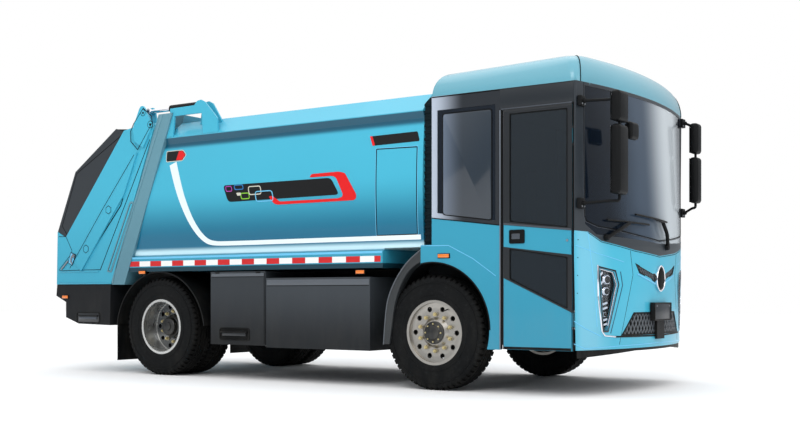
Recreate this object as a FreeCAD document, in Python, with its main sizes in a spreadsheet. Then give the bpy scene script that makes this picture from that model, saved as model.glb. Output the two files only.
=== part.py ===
import FreeCAD, Part
import math
import os
import re
import Sketcher

Vector = FreeCAD.Vector
Rotation = FreeCAD.Rotation

doc = FreeCAD.newDocument("refuse_truck")
sheet = doc.addObject("Spreadsheet::Sheet", "Sizes")

# Driving sizes, in millimetres and degrees.
# Places along the truck are measured from the front axle, forward or rearward as named.
SIZES = {
    # Overall
    "front_axle_x": 1701.5, "wheel_base": 3517, "seat_gap": 0.3, "moving_gap": 6,
    # How far cutting pieces stand past what they cut
    "cut_spare": 20, "cut_reach": 100,
    # Wheels, the middle of each tyre given as its distance from the truck's middle plane
    "tyre_radius": 525, "tyre_width": 280, "tyre_shoulder": 30, "rim_radius": 286,
    "rim_flange": 14, "rim_wall": 14, "rim_width": 240, "front_wheel_y": 1085,
    "twin_outer_y": 1075, "twin_spacing": 312, "hub_length": 180, "inner_disc_y": 120,
    "rim_lip": 8, "front_hub_radius": 142, "rear_hub_radius": 135, "bead_inset": 25,
    "wall_low": 70, "wall_high": 90, "shoulder_drop": 12, "crown_step": 14,
    "disc_fade": 60, "disc_step": 24, "disc_rise": 4, "disc_flat": 50,
    "disc_thick": 14, "front_disc_y": 1176, "rear_disc_y": 1000, "hand_hole_radius": 24,
    "hand_hole_circle": 222, "hand_hole_depth": 200, "hand_hole_count": 10,
    "spindle_radius": 40, "spindle_short": 10, "hub_proud": 30, "shaft_gap": 0.05,
    # Axles, steering knuckles and springs
    "kingpin_y": 885, "kingpin_radius": 25, "beam_top_z": 455, "beam_depth": 85,
    "beam_width": 90, "beam_end_low_z": 475, "beam_end_top_z": 575, "beam_eye_radius": 38,
    "beam_low_bend": 230, "beam_low_end": 60, "beam_top_end": 110, "beam_top_bend": 260, "lug_radius": 46,
    "lug_height": 40, "lug_space": 0.3, "yoke_thick": 30, "housing_radius": 62,
    "housing_bulge": 190, "housing_end": 280, "nose_length": 120, "shaft_lap": 20,
    "shaft_radius": 38, "spring_y": 405, "spring_width": 66,
    "spring_thick": 60, "spring_end_z": 610, "spring_eye": 20, "spring_flat": 90,
    "hanger_length": 50, "rear_hanger_rise": 1.9, "front_spring_half": 470, "rear_spring_half": 560,
    # Frame rails
    "rail_top_z": 840, "rail_depth": 200, "rail_inner_y": 370, "rail_flange": 70, "rail_wall": 10,
    "rail_overhang": 633, "rail_drop": 550, "rail_drop_thick": 80, "rail_low_z": 360,
    "rail_front": 1480, "cross_width": 90, "cross_mid": 2200, "cross_space": 60, "cross_low": 130,
    "cross_high": 20,
    "bearer_front": 640, "cab_post_x": 130, "cab_post": 90,
    # Power unit
    "engine_rear": 1500, "engine_front": 620, "engine_half": 330, "engine_low_z": 560,
    "engine_top_z": 1080, "engine_bar": 60,
    # Cab shell
    "half_width": 1250, "cab_wall": 40, "skin_wall": 30, "door_rear": 737, "door_front": 1388,
    "pillar_rear": 702, "pillar_front": 1414, "cab_low_z": 390, "belt_rear_z": 1571,
    "belt_mid_z": 1482, "belt_front_z": 1411, "head_z": 2485, "roof_seam_z": 2670,
    "roof_rise": 260, "dome_nose_round": 280, "dome_side_round": 230, "dome_rear_round": 130,
    "dome_top_round": 430, "dome_lip": 8, "dome_lip_rise": 60, "dome_nose": 140, "dome_drop": 15,
    "dome_rear": 60, "dome_crown": 600, "dome_side_lean": 20, "dome_side_rise": 70, "dome_shoulder": 190,
    "dome_shoulder_drop": 35, "dome_crown_y": 500, "window_rear": 60, "window_front": 660,
    "window_rise": 40,
    "window_top_z": 2540, "crease_z": 1325, "arch_radius": 600, "arch_z": 560, "fender_rear": 120,
    "fender_low_z": 1290, "front_bow_radius": 3091, "roof_bow_radius": 4963, "front_reach": 1680,
    "front_lean": 90, "arch_foot_short": 30, "vee_corner_drop": 6,
    "front_tuck": 16, "front_low_z": 400, "bend_z": 1300, "vee_z": 1226, "vee_mid_y": 490,
    "vee_mid_z": 1266, "vee_out_y": 952, "vee_out_z": 1332, "vee_corner_y": 1106,
    "glass_corner_y": 1135, "glass_corner_z": 1470, "glass_low_y": 1010, "glass_low_z": 1385,
    "glass_vee_z": 1338, "glass_top_z": 2640, "glass_thick": 6, "glass_inset": 4, "floor_z": 470,
    "floor_thick": 30, "deck_z": 1200, "deck_front": 665, "trim_low_z": 330, "lip_mid_y": 450,
    "lip_mid_z": 376, "lip_inset": 8, "lip_thick": 40,
    "front_room_y": 1260, "front_room_rear": 900,
    # Lamps, grilles and plate on the cab front
    "lamp_top_out_y": 965, "lamp_top_in_y": 787, "lamp_top_z": 1100, "lamp_side_y": 748,
    "lamp_side_z": 956, "lamp_low_in_y": 860, "lamp_low_out_y": 905, "lamp_low_z": 560, "lamp_inset": 4,
    "lamp_top_slope": 35, "wing_inset": 12, "grille_inset": 14, "grille_thick": 14,
    "grille_top_y": 484, "grille_top_z": 706, "grille_low_y": 662, "grille_low_z": 522,
    "wing_out_y": 462, "wing_top_z": 1139, "wing_low_y": 403, "wing_low_z": 1073,
    "wing_in_y": 62, "wing_in_top_z": 1040, "wing_in_low_z": 985, "plate_half": 206,
    "plate_low_z": 636, "plate_top_z": 801, "plate_thick": 40, "stem_half": 90, "stem_low_z": 470,
    # Doors
    "door_thick": 40, "door_low_z": 396, "hinge_x": 1401, "hinge_inset": 12, "hinge_pin_spare": 20,
    "hinge_ear_half": 8, "hinge_ear_thick": 14,
    "hinge_pin_radius": 5, "hinge_barrel_radius": 9, "hinge_length": 120, "hinge_leaf": 4,
    "hinge_low_z": 600, "hinge_high_z": 2150, "door_stile": 62, "door_glass_top_z": 2447,
    "band_low_rear_z": 1289, "band_low_front_z": 1205, "sash_low_rear_z": 1020,
    "sash_low_front_z": 715, "sash_rear_rise": 20, "sash_front_rise": 24,
    "pane_rear_drop": 18, "pane_front_rise": 34, "pane_top_drop": 14,
    # Mirrors
    "mirror_x": 1740, "mirror_y": 1150, "far_mirror_x": 1640, "far_mirror_y": 1180,
    "mirror_half": 78, "mirror_depth": 90, "mirror_split": 12, "mirror_top_z": 2560,
    "mirror_mid_z": 2305, "mirror_low_z": 1710, "mirror_arm_z": 2500, "mirror_foot_z": 1640,
    "mirror_arm_radius": 13, "kerb_arm_radius": 10, "kerb_mirror_y": 900, "kerb_mirror_half": 85,
    "kerb_mirror_low_z": 2195, "kerb_mirror_top_z": 2345, "foot_front": 1500,
    "foot_in_y": 1148, "foot_out_y": 1245, "foot_half": 45, "foot_gap": 1,
    # Seats and dashboard
    "seat_x": 420, "seat_y": 640, "seat_half": 240, "seat_length": 480, "seat_low_z": 1330,
    "seat_thick": 130, "seat_back_thick": 120, "seat_back_z": 2130, "seat_base_half": 160,
    "seat_back_lap": 40, "seat_back_rise": 60,
    "dash_rear": 1190, "dash_top_z": 1440, "dash_low_z": 1080, "wheel_x": 1060,
    "wheel_z": 1590, "wheel_ring": 215, "wheel_rim": 16, "column_radius": 35, "column_length": 360,
    "column_rake": 125, "spoke_thick": 14, "spoke_width": 49, "spoke_rise": 20, "dash_side": 20,
    "dash_nose": 60, "dash_brow": 120, "dash_sill": 190,
    # Container
    "box_front": 110, "box_wall": 40, "box_low_z": 1125, "band_top_z": 1275, "band_y": 1235,
    "side_low_y": 1205, "side_low_z": 1300, "side_mid_y": 1232, "side_mid_z": 1850,
    "groove_z": 2495, "groove_y": 1200, "chamfer_low_z": 2565,
    "chamfer_low_y": 1228, "chamfer_top_z": 2735, "chamfer_top_y": 1060, "crown_z": 2775,
    "box_floor_z": 1175, "step_z": 1310, "step_rear": 554, "box_lap": 60,
    # Ring frame at the rear of the container, its rear face passing these two heights
    "ring_top_z": 2825, "ring_low_z": 985, "ring_rear_top": 3511, "ring_rear_low": 4252,
    "ring_depth": 205, "ring_y": 1244, "ring_side": 134, "ring_opening_low_z": 1175,
    "ring_opening_top_z": 2600, "notch_depth": 135, "notch_in_y": 1055, "notch_out_y": 1212,
    # Tailgate
    "pivot_rear": 3632, "pivot_z": 2699, "pivot_radius": 28,
    "lug_in_y": 1022, "lug_thick": 28, "lug_half": 46, "lug_foot": 130, "gate_gap": 10, "gate_wall": 35,
    "cheek_front": 22, "cheek_rear": 60, "cheek_rise": 50, "cheek_drop": 24, "shoulder_rise": 24,
    "corner_lean": 14,
    "gate_low_z": 991, "gate_rear": 5179, "gate_corner_z": 1605, "gate_inner": 5024,
    "gate_inner_z": 1535, "shoulder_rear": 4049, "shoulder_z": 2668, "cover_top_rear": 4178,
    "cover_top_z": 2723, "cover_rear": 4858, "cover_rear_z": 2283, "cover_open": 5000,
    "cover_open_z": 1970, "cover_wall": 30, "cover_lap": 62, "cover_step": 6,
    "cover_lean": 10, "cover_inset": 4, "guide_top": 3823, "guide_top_z": 2430,
    "guide_front": 4033, "guide_front_z": 1978, "guide_low": 4736, "guide_low_z": 1144,
    "guide_rear": 4850, "guide_rear_z": 1235, "guide_proud": 20, "sill_z": 1330,
    "beam_front": 3705, "beam_rear": 3800, "beam_low_z": 2600, "beam_high_z": 2690,
    "sill_inset": 2, "floor_flat_rear": 200, "boss_gap": 4, "boss_round": 50,
    "tail_box_rear": 5193, "tail_box_rear_z": 861, "tail_box_step": 5024,
    "tail_box_step_z": 788, "tail_box_corner_z": 612, "tail_box_low": 4804,
    "tail_box_low_z": 541, "tail_box_front": 4281, "tail_box_front_z": 530,
    "tail_box_depth": 420, "tail_box_lean": 13, "tail_box_inset": 5,
    "tail_lamp_y": 960, "tail_lamp_half": 150, "tail_lamp_z": 1040,
    "tail_lamp_height": 110, "tail_lamp_thick": 14,
    # Packer
    "blade_pivot": 4560, "blade_pivot_z": 1640, "trough_radius": 600, "floor_flat_z": 1040,
    "packer_length": 900, "packer_thick": 90, "packer_half": 1120, "packer_start": 75,
    "blade_length": 545, "blade_thick": 40, "blade_pin": 30, "blade_barrel": 56,
    "shoe_start": 40, "shoe_end": 240, "shoe_length": 200, "shoe_half": 30, "shoe_lap": 10,
    "packer_lug_low": 50, "packer_lug_half": 45, "packer_lug_lap": 60, "packer_lug_in": 60,
    "packer_lug_thick": 40, "pin_short": 20, "blade_short": 66, "blade_root": 40, "blade_root_drop": 20,
    "blade_heel": 5, "blade_belly": 70, "blade_belly_drop": 260, "blade_tip": 20, "blade_tip_lean": 8,
    # Lift cylinders
    "eye_rear": 3741, "anchor_rear": 2949, "lift_z": 2885, "lift_y": 1155,
    "barrel_radius": 42, "barrel_reach": 455, "lift_rod_radius": 22, "eye_radius": 34,
    "eye_half": 26, "lift_pin": 18, "ear_thick": 22, "ear_gap": 6, "ear_tip": 48, "ear_tip_half": 16,
    "ear_neck": 42, "ear_neck_rear": 40, "ear_neck_rise": 22, "ear_front": 30, "ear_front_top": 20,
    "ear_front_drop": 20, "ear_rear": 150, "ear_rear_drop": 10, "ear_foot": 110, "ear_foot_drop": 150,
    "ear_low": 90, "ear_low_drop": 220, "ear_inner_lap": 60, "barrel_start": 20, "barrel_play": 0.1,
    "barrel_head": 80, "rod_eye_play": 1, "guard_thick": 20,
    "guard_gap": 50, "rod_inside": 54, "guard_base_z": 2560, "guard_rear": 3355,
    "guard_bar_front": 3000, "guard_bar_z": 2876, "guard_top": 2900, "guard_top_z": 2930,
    "guard_step": 55, "guard_front": 2670, "guard_foot_z": 2719, "guard_hole_rear": 3290,
    "guard_hole_front": 2870, "guard_hole_z": 2790, "guard_crest_drop": 8, "guard_bar_rise": 4,
    "guard_lean": 10, "guard_hole_lean": 30, "guard_hole_foot": 60, "guard_inner_step": 40,
    "guard_inner_toe": 50, "guard_inner_foot": 30,
    # Lockers, fenders and trims
    "locker_y": 1230, "locker_wheel_gap": 763, "locker_one_front": 2005,
    "locker_one_low_z": 356, "locker_one_top_z": 1110, "locker_two_rear": 1994,
    "locker_two_front": 705, "locker_two_low_z": 340, "locker_two_top_z": 1040,
    "trim_depth": 60, "trim_y": 1244, "trim_wide": 60,
    "trim_foot_z": 410, "trim_side_z": 820, "trim_top": 350, "fender_wall": 14,
    "fender_in_y": 620, "fender_end": 670, "fender_end_z": 545,
    "flap_low_z": 140, "flap_thick": 10, "flap_side": 20, "flap_inner": 10, "flap_lap": 60,
}

for row, (alias, size) in enumerate(SIZES.items(), start=1):
    sheet.set("A%d" % row, alias)
    sheet.set("B%d" % row, str(size))
    sheet.setAlias("B%d" % row, alias)
doc.recompute()

PARTS = []
ROOF_TOP = "(roof_seam_z + roof_rise)"
RAIL_REAR = "(wheel_base + rail_overhang)"
HINGE_Y = "(half_width - hinge_inset)"
LOCKER_ONE_REAR = "(wheel_base - locker_wheel_gap)"


def bound(text):
    """An expression with every size taken from the sheet."""
    return re.sub(r"\b[a-z]+(?:_[a-z]+)+\b", r"Sizes.\g<0>", str(text))


def number(text):
    """The value that an expression has now."""
    return float(sheet.evalExpression(str(text)))


def fore(text):
    """A place ahead of the front axle."""
    return "front_axle_x + (%s)" % text


def aft(text):
    """A place behind the front axle."""
    return "front_axle_x - (%s)" % text


def rear_axle(text="0"):
    """A place ahead of the rear axle."""
    return "front_axle_x - wheel_base + (%s)" % text


def keep(piece, name):
    """Makes a piece one of the truck's named sub-parts."""
    piece.Label = name
    PARTS.append(piece)
    return piece


def origin_plane(body, role):
    for feature in body.Origin.OriginFeatures:
        if feature.Role == role:
            return feature


def outline(body, role, points, offset="0"):
    """A closed line on one of the body's own planes, every corner held by two sizes.

    A corner is (across, up). With two more values the edge to the next corner
    is an arc through that third place.
    """
    sketch = body.newObject("Sketcher::SketchObject", body.Name + "_outline")
    sketch.AttachmentSupport = [(origin_plane(body, role), "")]
    sketch.MapMode = "FlatFace"
    sketch.setExpression("AttachmentOffset.Base.z", bound(offset))
    spots = [Vector(number(point[0]), number(point[1]), 0) for point in points]
    count = len(spots)
    ends = []
    for index, point in enumerate(points):
        start, end = spots[index], spots[(index + 1) % count]
        if len(point) == 2:
            sketch.addGeometry(Part.LineSegment(start, end), False)
            ends.append((1, 2))
            continue
        via = Vector(number(point[2]), number(point[3]), 0)
        if (via - start).cross(end - start).z > 0:
            sketch.addGeometry(Part.Arc(start, via, end), False)
            ends.append((1, 2))
        else:
            sketch.addGeometry(Part.Arc(end, via, start), False)
            ends.append((2, 1))
    for index in range(count):
        following = (index + 1) % count
        sketch.addConstraint(Sketcher.Constraint("Coincident", index, ends[index][1],
                                                 following, ends[following][0]))
    for index, point in enumerate(points):
        hold(sketch, index, ends[index][0], point[0], point[1])
        if len(point) == 4:
            via = sketch.addGeometry(Part.Point(Vector(number(point[2]), number(point[3]), 0)), True)
            hold(sketch, via, 1, point[2], point[3])
            sketch.addConstraint(Sketcher.Constraint("PointOnObject", via, 1, index))
    return sketch


def hold(sketch, index, end, across, up):
    """Ties one end of a sketch's edge to two expressions."""
    for kind, text in (("DistanceX", across), ("DistanceY", up)):
        place = sketch.addConstraint(Sketcher.Constraint(kind, -1, 1, index, end, number(text)))
        sketch.setExpression("Constraints[%d]" % place, bound(text))


def new_body(name):
    return doc.addObject("PartDesign::Body", name)


def pad(body, role, points, offset, length):
    """Extrudes an outline from its offset along the plane's normal."""
    feature = body.newObject("PartDesign::Pad", body.Name + "_pad")
    feature.Profile = outline(body, role, points, offset)
    feature.setExpression("Length", bound(length))
    return feature


def pocket(body, role, points, offset, length):
    """Cuts an outline from its offset along the plane's normal."""
    feature = body.newObject("PartDesign::Pocket", body.Name + "_pocket")
    feature.Profile = outline(body, role, points, offset)
    feature.Reversed = True
    feature.setExpression("Length", bound(length))
    return feature


def plate(name, role, points, offset, length):
    """A body that is one padded outline."""
    body = new_body(name)
    pad(body, role, points, offset, length)
    return body


def rectangle(low_a, low_b, high_a, high_b):
    return [(low_a, low_b), (high_a, low_b), (high_a, high_b), (low_a, high_b)]


def round_edges(body, along, places, radius):
    """Fillets the edges that run along a row axis through the given places."""
    doc.recompute()
    shape = body.Tip.Shape
    axis = "xyz".index(along)
    others = [index for index in range(3) if index != axis]
    spots = [(number(first), number(second)) for first, second in places]
    names = []
    for index, edge in enumerate(shape.Edges, start=1):
        if len(edge.Vertexes) != 2:
            continue
        start, end = edge.Vertexes[0].Point, edge.Vertexes[1].Point
        if any(abs(start[other] - end[other]) > 0.01 for other in others):
            continue
        if any(all(abs(start[other] - spot[k]) < 0.5 for k, other in enumerate(others)) for spot in spots):
            names.append("Edge%d" % index)
    fillet = body.newObject("PartDesign::Fillet", body.Name + "_round")
    fillet.Base = (body.Tip if body.Tip != fillet else fillet.BaseFeature, names)
    fillet.setExpression("Radius", bound(radius))
    return fillet


def revolved(name, points, place):
    """A body turned about the vehicle's cross axis: points are radius and place along the axle."""
    body = new_body(name)
    feature = body.newObject("PartDesign::Revolution", name + "_turned")
    sketch = outline(body, "XY_Plane", points)
    feature.Profile = sketch
    feature.ReferenceAxis = (sketch, ["V_Axis"])
    feature.Angle = 360
    put(body, place)
    return body


def put(piece, place):
    for axis, text in zip("xyz", place):
        piece.setExpression("Placement.Base.%s" % axis, bound(text))


def block(name, low, high):
    """A box between two corners."""
    piece = doc.addObject("Part::Box", name)
    for side, first, last in zip(("Length", "Width", "Height"), low, high):
        piece.setExpression(side, bound("(%s) - (%s)" % (last, first)))
    put(piece, low)
    return piece


TURNS = {"x": Rotation(Vector(0, 1, 0), 90), "y": Rotation(Vector(1, 0, 0), -90), "z": Rotation()}


def rod(name, radius, length, place, along):
    """A round bar that starts at a place and runs along a row axis."""
    piece = doc.addObject("Part::Cylinder", name)
    piece.Placement = FreeCAD.Placement(Vector(), TURNS[along])
    piece.setExpression("Radius", bound(radius))
    piece.setExpression("Height", bound(length))
    put(piece, place)
    return piece


def fuse(name, pieces):
    joined = doc.addObject("Part::MultiFuse", name)
    joined.Shapes = pieces
    return joined


def cut(name, base, tool):
    result = doc.addObject("Part::Cut", name)
    result.Base = base
    result.Tool = tool
    return result


def common(name, first, second):
    result = doc.addObject("Part::Common", name)
    result.Base = first
    result.Tool = second
    return result


def group(name, pieces):
    """Like pieces that don't touch, kept as one sub-part."""
    result = doc.addObject("Part::Compound", name)
    result.Links = pieces
    return result


def mirrored(name, source):
    """The same piece on the other side of the middle plane."""
    result = doc.addObject("Part::Mirroring", name)
    result.Source = source
    result.Normal = Vector(0, 1, 0)
    return result


def pair(name, source):
    return group(name, [source, mirrored(name + "_other", source)])


def both_sides(points):
    """An outline given for one side of the truck, closed across the middle plane."""
    return points + [("-(%s)" % across, up) for across, up in reversed(points)]


def ring_rear(height):
    """How far behind the front axle the ring frame's rear face is at a height."""
    slope = "(ring_rear_low - ring_rear_top) / (ring_top_z - ring_low_z)"
    return "ring_rear_top + (ring_top_z - (%s)) * %s" % (height, slope)


def ring_front(height):
    return "%s - ring_depth" % ring_rear(height)


# Chassis

def rail():
    """One cranked frame rail of channel section, its open side to the middle."""
    top, low = "rail_top_z", "rail_top_z - rail_depth"
    floor_seat = "floor_z - floor_thick - seat_gap"
    drop_front = fore("rail_drop + rail_drop_thick")
    body = plate("rail_right", "XZ_Plane", [
        (aft(RAIL_REAR), low), (fore("rail_drop"), low), (fore("rail_drop"), "rail_low_z"),
        (fore("rail_front"), "rail_low_z"), (fore("rail_front"), floor_seat), (drop_front, floor_seat),
        (drop_front, top), (aft(RAIL_REAR), top)], "rail_inner_y", "rail_flange")
    pocket(body, "XZ_Plane", rectangle(
        aft(RAIL_REAR), "%s + rail_wall" % low, fore("rail_drop - rail_wall"), "%s - rail_wall" % top),
        "rail_inner_y", "rail_flange - rail_wall")
    return body


def cross_member(name, place, low, high):
    reach = "rail_inner_y + rail_flange - rail_wall"
    return block(name, (place, "-(%s)" % reach, low), ("%s + cross_width" % place, reach, high))


def chassis_frame():
    right = rail()
    pieces = [right, mirrored("rail_left", right)]
    places = [aft(RAIL_REAR), rear_axle("rear_spring_half"), aft("cross_mid"),
              aft("front_spring_half + cross_space")]
    for index, place in enumerate(places):
        pieces.append(cross_member("cross_%d" % index, place, "rail_top_z - cross_low",
                                   "rail_top_z - cross_high"))
    bearer = plate("bearer_right", "XZ_Plane", [
        (aft(RAIL_REAR), "rail_top_z"), (aft("bearer_front"), "rail_top_z"),
        (aft("bearer_front"), "box_low_z - seat_gap"),
        (aft("%s - seat_gap" % ring_front("box_low_z")), "box_low_z - seat_gap"),
        (aft("%s - seat_gap" % ring_front("ring_low_z")), "ring_low_z - seat_gap"),
        (aft(RAIL_REAR), "ring_low_z - seat_gap")], "rail_inner_y", "rail_flange")
    post = block("cab_post", (fore("cab_post_x"), "rail_inner_y", "rail_top_z"),
                 (fore("cab_post_x + cab_post"), "rail_inner_y + rail_flange",
                  "deck_z - floor_thick - seat_gap"))
    pieces += [bearer, mirrored("bearer_left", bearer), post, mirrored("cab_post_right", post)]
    pieces.append(cross_member("cross_front", fore("rail_front - cross_width"), "rail_low_z",
                               "floor_z - floor_thick - seat_gap"))
    for name, axle, half, rise in (("front", "front_axle_x", "front_spring_half", "0"),
                                   ("rear", rear_axle(), "rear_spring_half", "rear_hanger_rise")):
        for end, sign in (("fore", "+"), ("aft", "-")):
            place = "%s %s %s" % (axle, sign, half)
            hanger = block("hanger_%s_%s" % (name, end),
                           ("%s - hanger_length / 2" % place, "spring_y - spring_width / 2",
                            "spring_end_z - spring_eye + %s" % rise),
                           ("%s + hanger_length / 2" % place, "spring_y + spring_width / 2",
                            "rail_top_z - rail_depth"))
            pieces += [hanger, mirrored(hanger.Name + "_other", hanger)]
    return keep(fuse("chassis_frame", pieces), "chassis_frame")


def leaf_springs():
    springs = []
    for name, axle, half, seat in (("front", "front_axle_x", "front_spring_half", "beam_top_z"),
                                   ("rear", rear_axle(), "rear_spring_half",
                                    "tyre_radius + housing_radius")):
        crest = "%s + spring_thick / 2" % seat
        foot = "spring_end_z - spring_eye"
        body = plate("%s_spring" % name, "XZ_Plane", [
            ("%s - %s" % (axle, half), "%s - spring_eye" % foot),
            ("%s - spring_flat" % axle, "%s + seat_gap" % seat),
            ("%s + spring_flat" % axle, "%s + seat_gap" % seat),
            ("%s + %s" % (axle, half), "%s - spring_eye" % foot),
            ("%s + %s" % (axle, half), "%s - seat_gap" % foot),
            ("%s + spring_flat" % axle, crest), ("%s - spring_flat" % axle, crest),
            ("%s - %s" % (axle, half), "%s - seat_gap" % foot)],
            "spring_y - spring_width / 2", "spring_width")
        springs += [body, mirrored("%s_spring_left" % name, body)]
    return keep(group("leaf_springs", springs), "leaf_springs")


def front_axle():
    """The dropped beam with its two kingpins."""
    low = "beam_top_z - beam_depth"
    beam = plate("front_beam", "YZ_Plane", both_sides([
        ("kingpin_y - beam_low_bend", low), ("kingpin_y - beam_low_end", "beam_end_low_z"),
        ("kingpin_y", "beam_end_low_z"), ("kingpin_y", "beam_end_top_z"),
        ("kingpin_y - beam_top_end", "beam_end_top_z"),
        ("kingpin_y - beam_top_bend", "beam_top_z")]), "front_axle_x - beam_width / 2", "beam_width")
    pin = rod("kingpin_left", "kingpin_radius", "beam_end_top_z - beam_end_low_z + 2 * lug_height",
              ("front_axle_x", "kingpin_y", "beam_end_low_z - lug_height"), "z")
    eye = rod("beam_eye", "beam_eye_radius", "beam_end_top_z - beam_end_low_z",
              ("front_axle_x", "kingpin_y", "beam_end_low_z"), "z")
    ends = [pin, mirrored("kingpin_right", pin), eye, mirrored("beam_eye_right", eye)]
    return keep(fuse("front_axle", [beam] + ends), "front_axle")


def knuckles():
    """Each steering knuckle: two lugs on the kingpin, a yoke and the wheel's spindle."""
    lugs = []
    for name, low in (("low", "beam_end_low_z - lug_height - lug_space"),
                      ("high", "beam_end_top_z + lug_space")):
        eye = rod("lug_%s" % name, "lug_radius", "lug_height", ("front_axle_x", "kingpin_y", low), "z")
        web = block("web_%s" % name, ("front_axle_x - lug_radius", "kingpin_y", low),
                    ("front_axle_x + lug_radius", "kingpin_y + lug_radius + yoke_thick / 2",
                     "%s + lug_height" % low))
        lugs += [eye, web]
    yoke = block("yoke", ("front_axle_x - lug_radius", "kingpin_y + lug_radius",
                          "beam_end_low_z - lug_height - lug_space"),
                 ("front_axle_x + lug_radius", "kingpin_y + lug_radius + yoke_thick",
                  "beam_end_top_z + lug_height + lug_space"))
    spindle = rod("spindle", "spindle_radius", "front_disc_y - kingpin_y - lug_radius - spindle_short",
                  ("front_axle_x", "kingpin_y + lug_radius", "tyre_radius"), "y")
    bore = rod("kingpin_bore", "kingpin_radius + shaft_gap", "rail_top_z",
               ("front_axle_x", "kingpin_y", "0"), "z")
    solid = keep(cut("knuckle_solid", fuse("knuckle_raw", lugs + [yoke, spindle]), bore), "knuckle_left")
    keep(mirrored("knuckle_turned", solid), "knuckle_right")


def rear_axle_housing():
    """The banjo housing with its spindles, and the shaft from the power unit."""
    place = rear_axle()
    tube = rod("axle_tube", "housing_radius", "2 * (rear_disc_y - housing_end)",
               (place, "housing_end - rear_disc_y", "tyre_radius"), "y")
    spindle = rod("axle_spindle", "spindle_radius", "2 * (rear_disc_y - spindle_short)",
                  (place, "spindle_short - rear_disc_y", "tyre_radius"), "y")
    bulge = doc.addObject("Part::Sphere", "axle_bulge")
    bulge.setExpression("Radius", bound("housing_bulge"))
    put(bulge, (place, "0", "tyre_radius"))
    nose = rod("axle_nose", "housing_radius", "housing_bulge + nose_length", (place, "0", "tyre_radius"), "x")
    start = "housing_bulge + nose_length - shaft_lap"
    shaft = rod("drive_shaft", "shaft_radius", "wheel_base - engine_rear - (%s) - seat_gap" % start,
                (rear_axle(start), "0", "tyre_radius"), "x")
    return keep(fuse("rear_axle", [tube, spindle, bulge, nose, shaft]), "rear_axle")


def engine_block():
    """The closed power unit with its two carrying bars between the rails."""
    unit = block("engine_case", (aft("engine_rear"), "-engine_half", "engine_low_z"),
                 (aft("engine_front"), "engine_half", "engine_top_z"))
    bars = []
    for index, place in enumerate(("engine_rear - engine_bar", "engine_front + 2 * engine_bar")):
        bars.append(block("engine_bar_%d" % index,
                          (aft(place), "seat_gap - rail_inner_y", "rail_top_z - 2 * engine_bar"),
                          (aft("%s - engine_bar" % place), "rail_inner_y - seat_gap",
                           "rail_top_z - engine_bar")))
    return keep(fuse("engine_block", [unit] + bars), "engine_block")


# Wheels, built at their own centre and put at their axle

def tyre_profile(middle):
    """Half section of a tyre as radius and place along the axle."""
    half, edge = "tyre_width / 2", "tyre_width / 2 - tyre_shoulder"
    steps = [("rim_radius + seat_gap", half + " - bead_inset"), ("rim_radius + wall_low", half),
             ("tyre_radius - wall_high", half), ("tyre_radius - shoulder_drop", edge),
             ("tyre_radius", edge + " - crown_step")]
    return ([(radius, "%s - (%s)" % (middle, away)) for radius, away in steps] +
            [(radius, "%s + %s" % (middle, away)) for radius, away in reversed(steps)])


def rim_profile(middle, disc, hub, hub_low):
    """Half section of a rim with its barrel, flanges, disc and hub."""
    half = "rim_width / 2"
    inner, flange, bore = "rim_radius - rim_wall", "rim_radius + rim_flange", "spindle_radius + shaft_gap"
    low, high = "%s - %s" % (middle, half), "%s + %s" % (middle, half)
    return [(bore, hub_low), (hub, hub_low), (hub, "%s - disc_thick" % disc),
            ("%s - disc_fade" % inner, "%s - disc_thick" % disc),
            (inner, "%s - disc_thick - disc_step" % disc),
            (inner, "%s - rim_lip" % low), (flange, "%s - rim_lip" % low),
            (flange, low), ("rim_radius", low), ("rim_radius", high),
            (flange, high), (flange, "%s + rim_lip" % high), (inner, "%s + rim_lip" % high),
            (inner, "%s + disc_rise" % disc), ("%s - disc_flat" % inner, disc),
            (hub, disc), ("%s - hub_proud" % hub, "%s + hub_proud" % disc), ("0", "%s + hub_proud" % disc),
            ("0", "%s - spindle_short / 2" % disc), (bore, "%s - spindle_short / 2" % disc)]


def wheel_holes(name, disc):
    """A ring of hand holes through a disc, as one cutting piece."""
    rods = []
    count = int(number("hand_hole_count"))
    for index in range(count):
        turn = 2 * math.pi * index / count
        rods.append(rod("%s_%d" % (name, index), "hand_hole_radius", "hand_hole_depth",
                        ("hand_hole_circle * %.6f" % math.cos(turn), "%s - hand_hole_depth / 2" % disc,
                         "hand_hole_circle * %.6f" % math.sin(turn)), "y"))
    return group(name, rods)


def keep_wheel(tyre, rim, names, axle):
    """Puts a wheel's two pieces at their axle and keeps them with their mirror images."""
    for piece, name in zip((tyre, rim), names):
        put(piece, (axle, "0", "tyre_radius"))
        keep(piece, "%s_left" % name)
        keep(mirrored("%s_turned" % name, piece), "%s_right" % name)


def front_wheels():
    tyre = revolved("tyre_turned", tyre_profile("front_wheel_y"), ("0", "0", "0"))
    hub_low = "kingpin_y + lug_radius + yoke_thick + moving_gap"
    rim = revolved("rim_turned", rim_profile("front_wheel_y", "front_disc_y", "front_hub_radius", hub_low),
                   ("0", "0", "0"))
    rim = cut("rim_cut", rim, wheel_holes("hand_holes", "front_disc_y"))
    keep_wheel(tyre, rim, ("front_tyre", "front_rim"), "front_axle_x")


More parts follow.
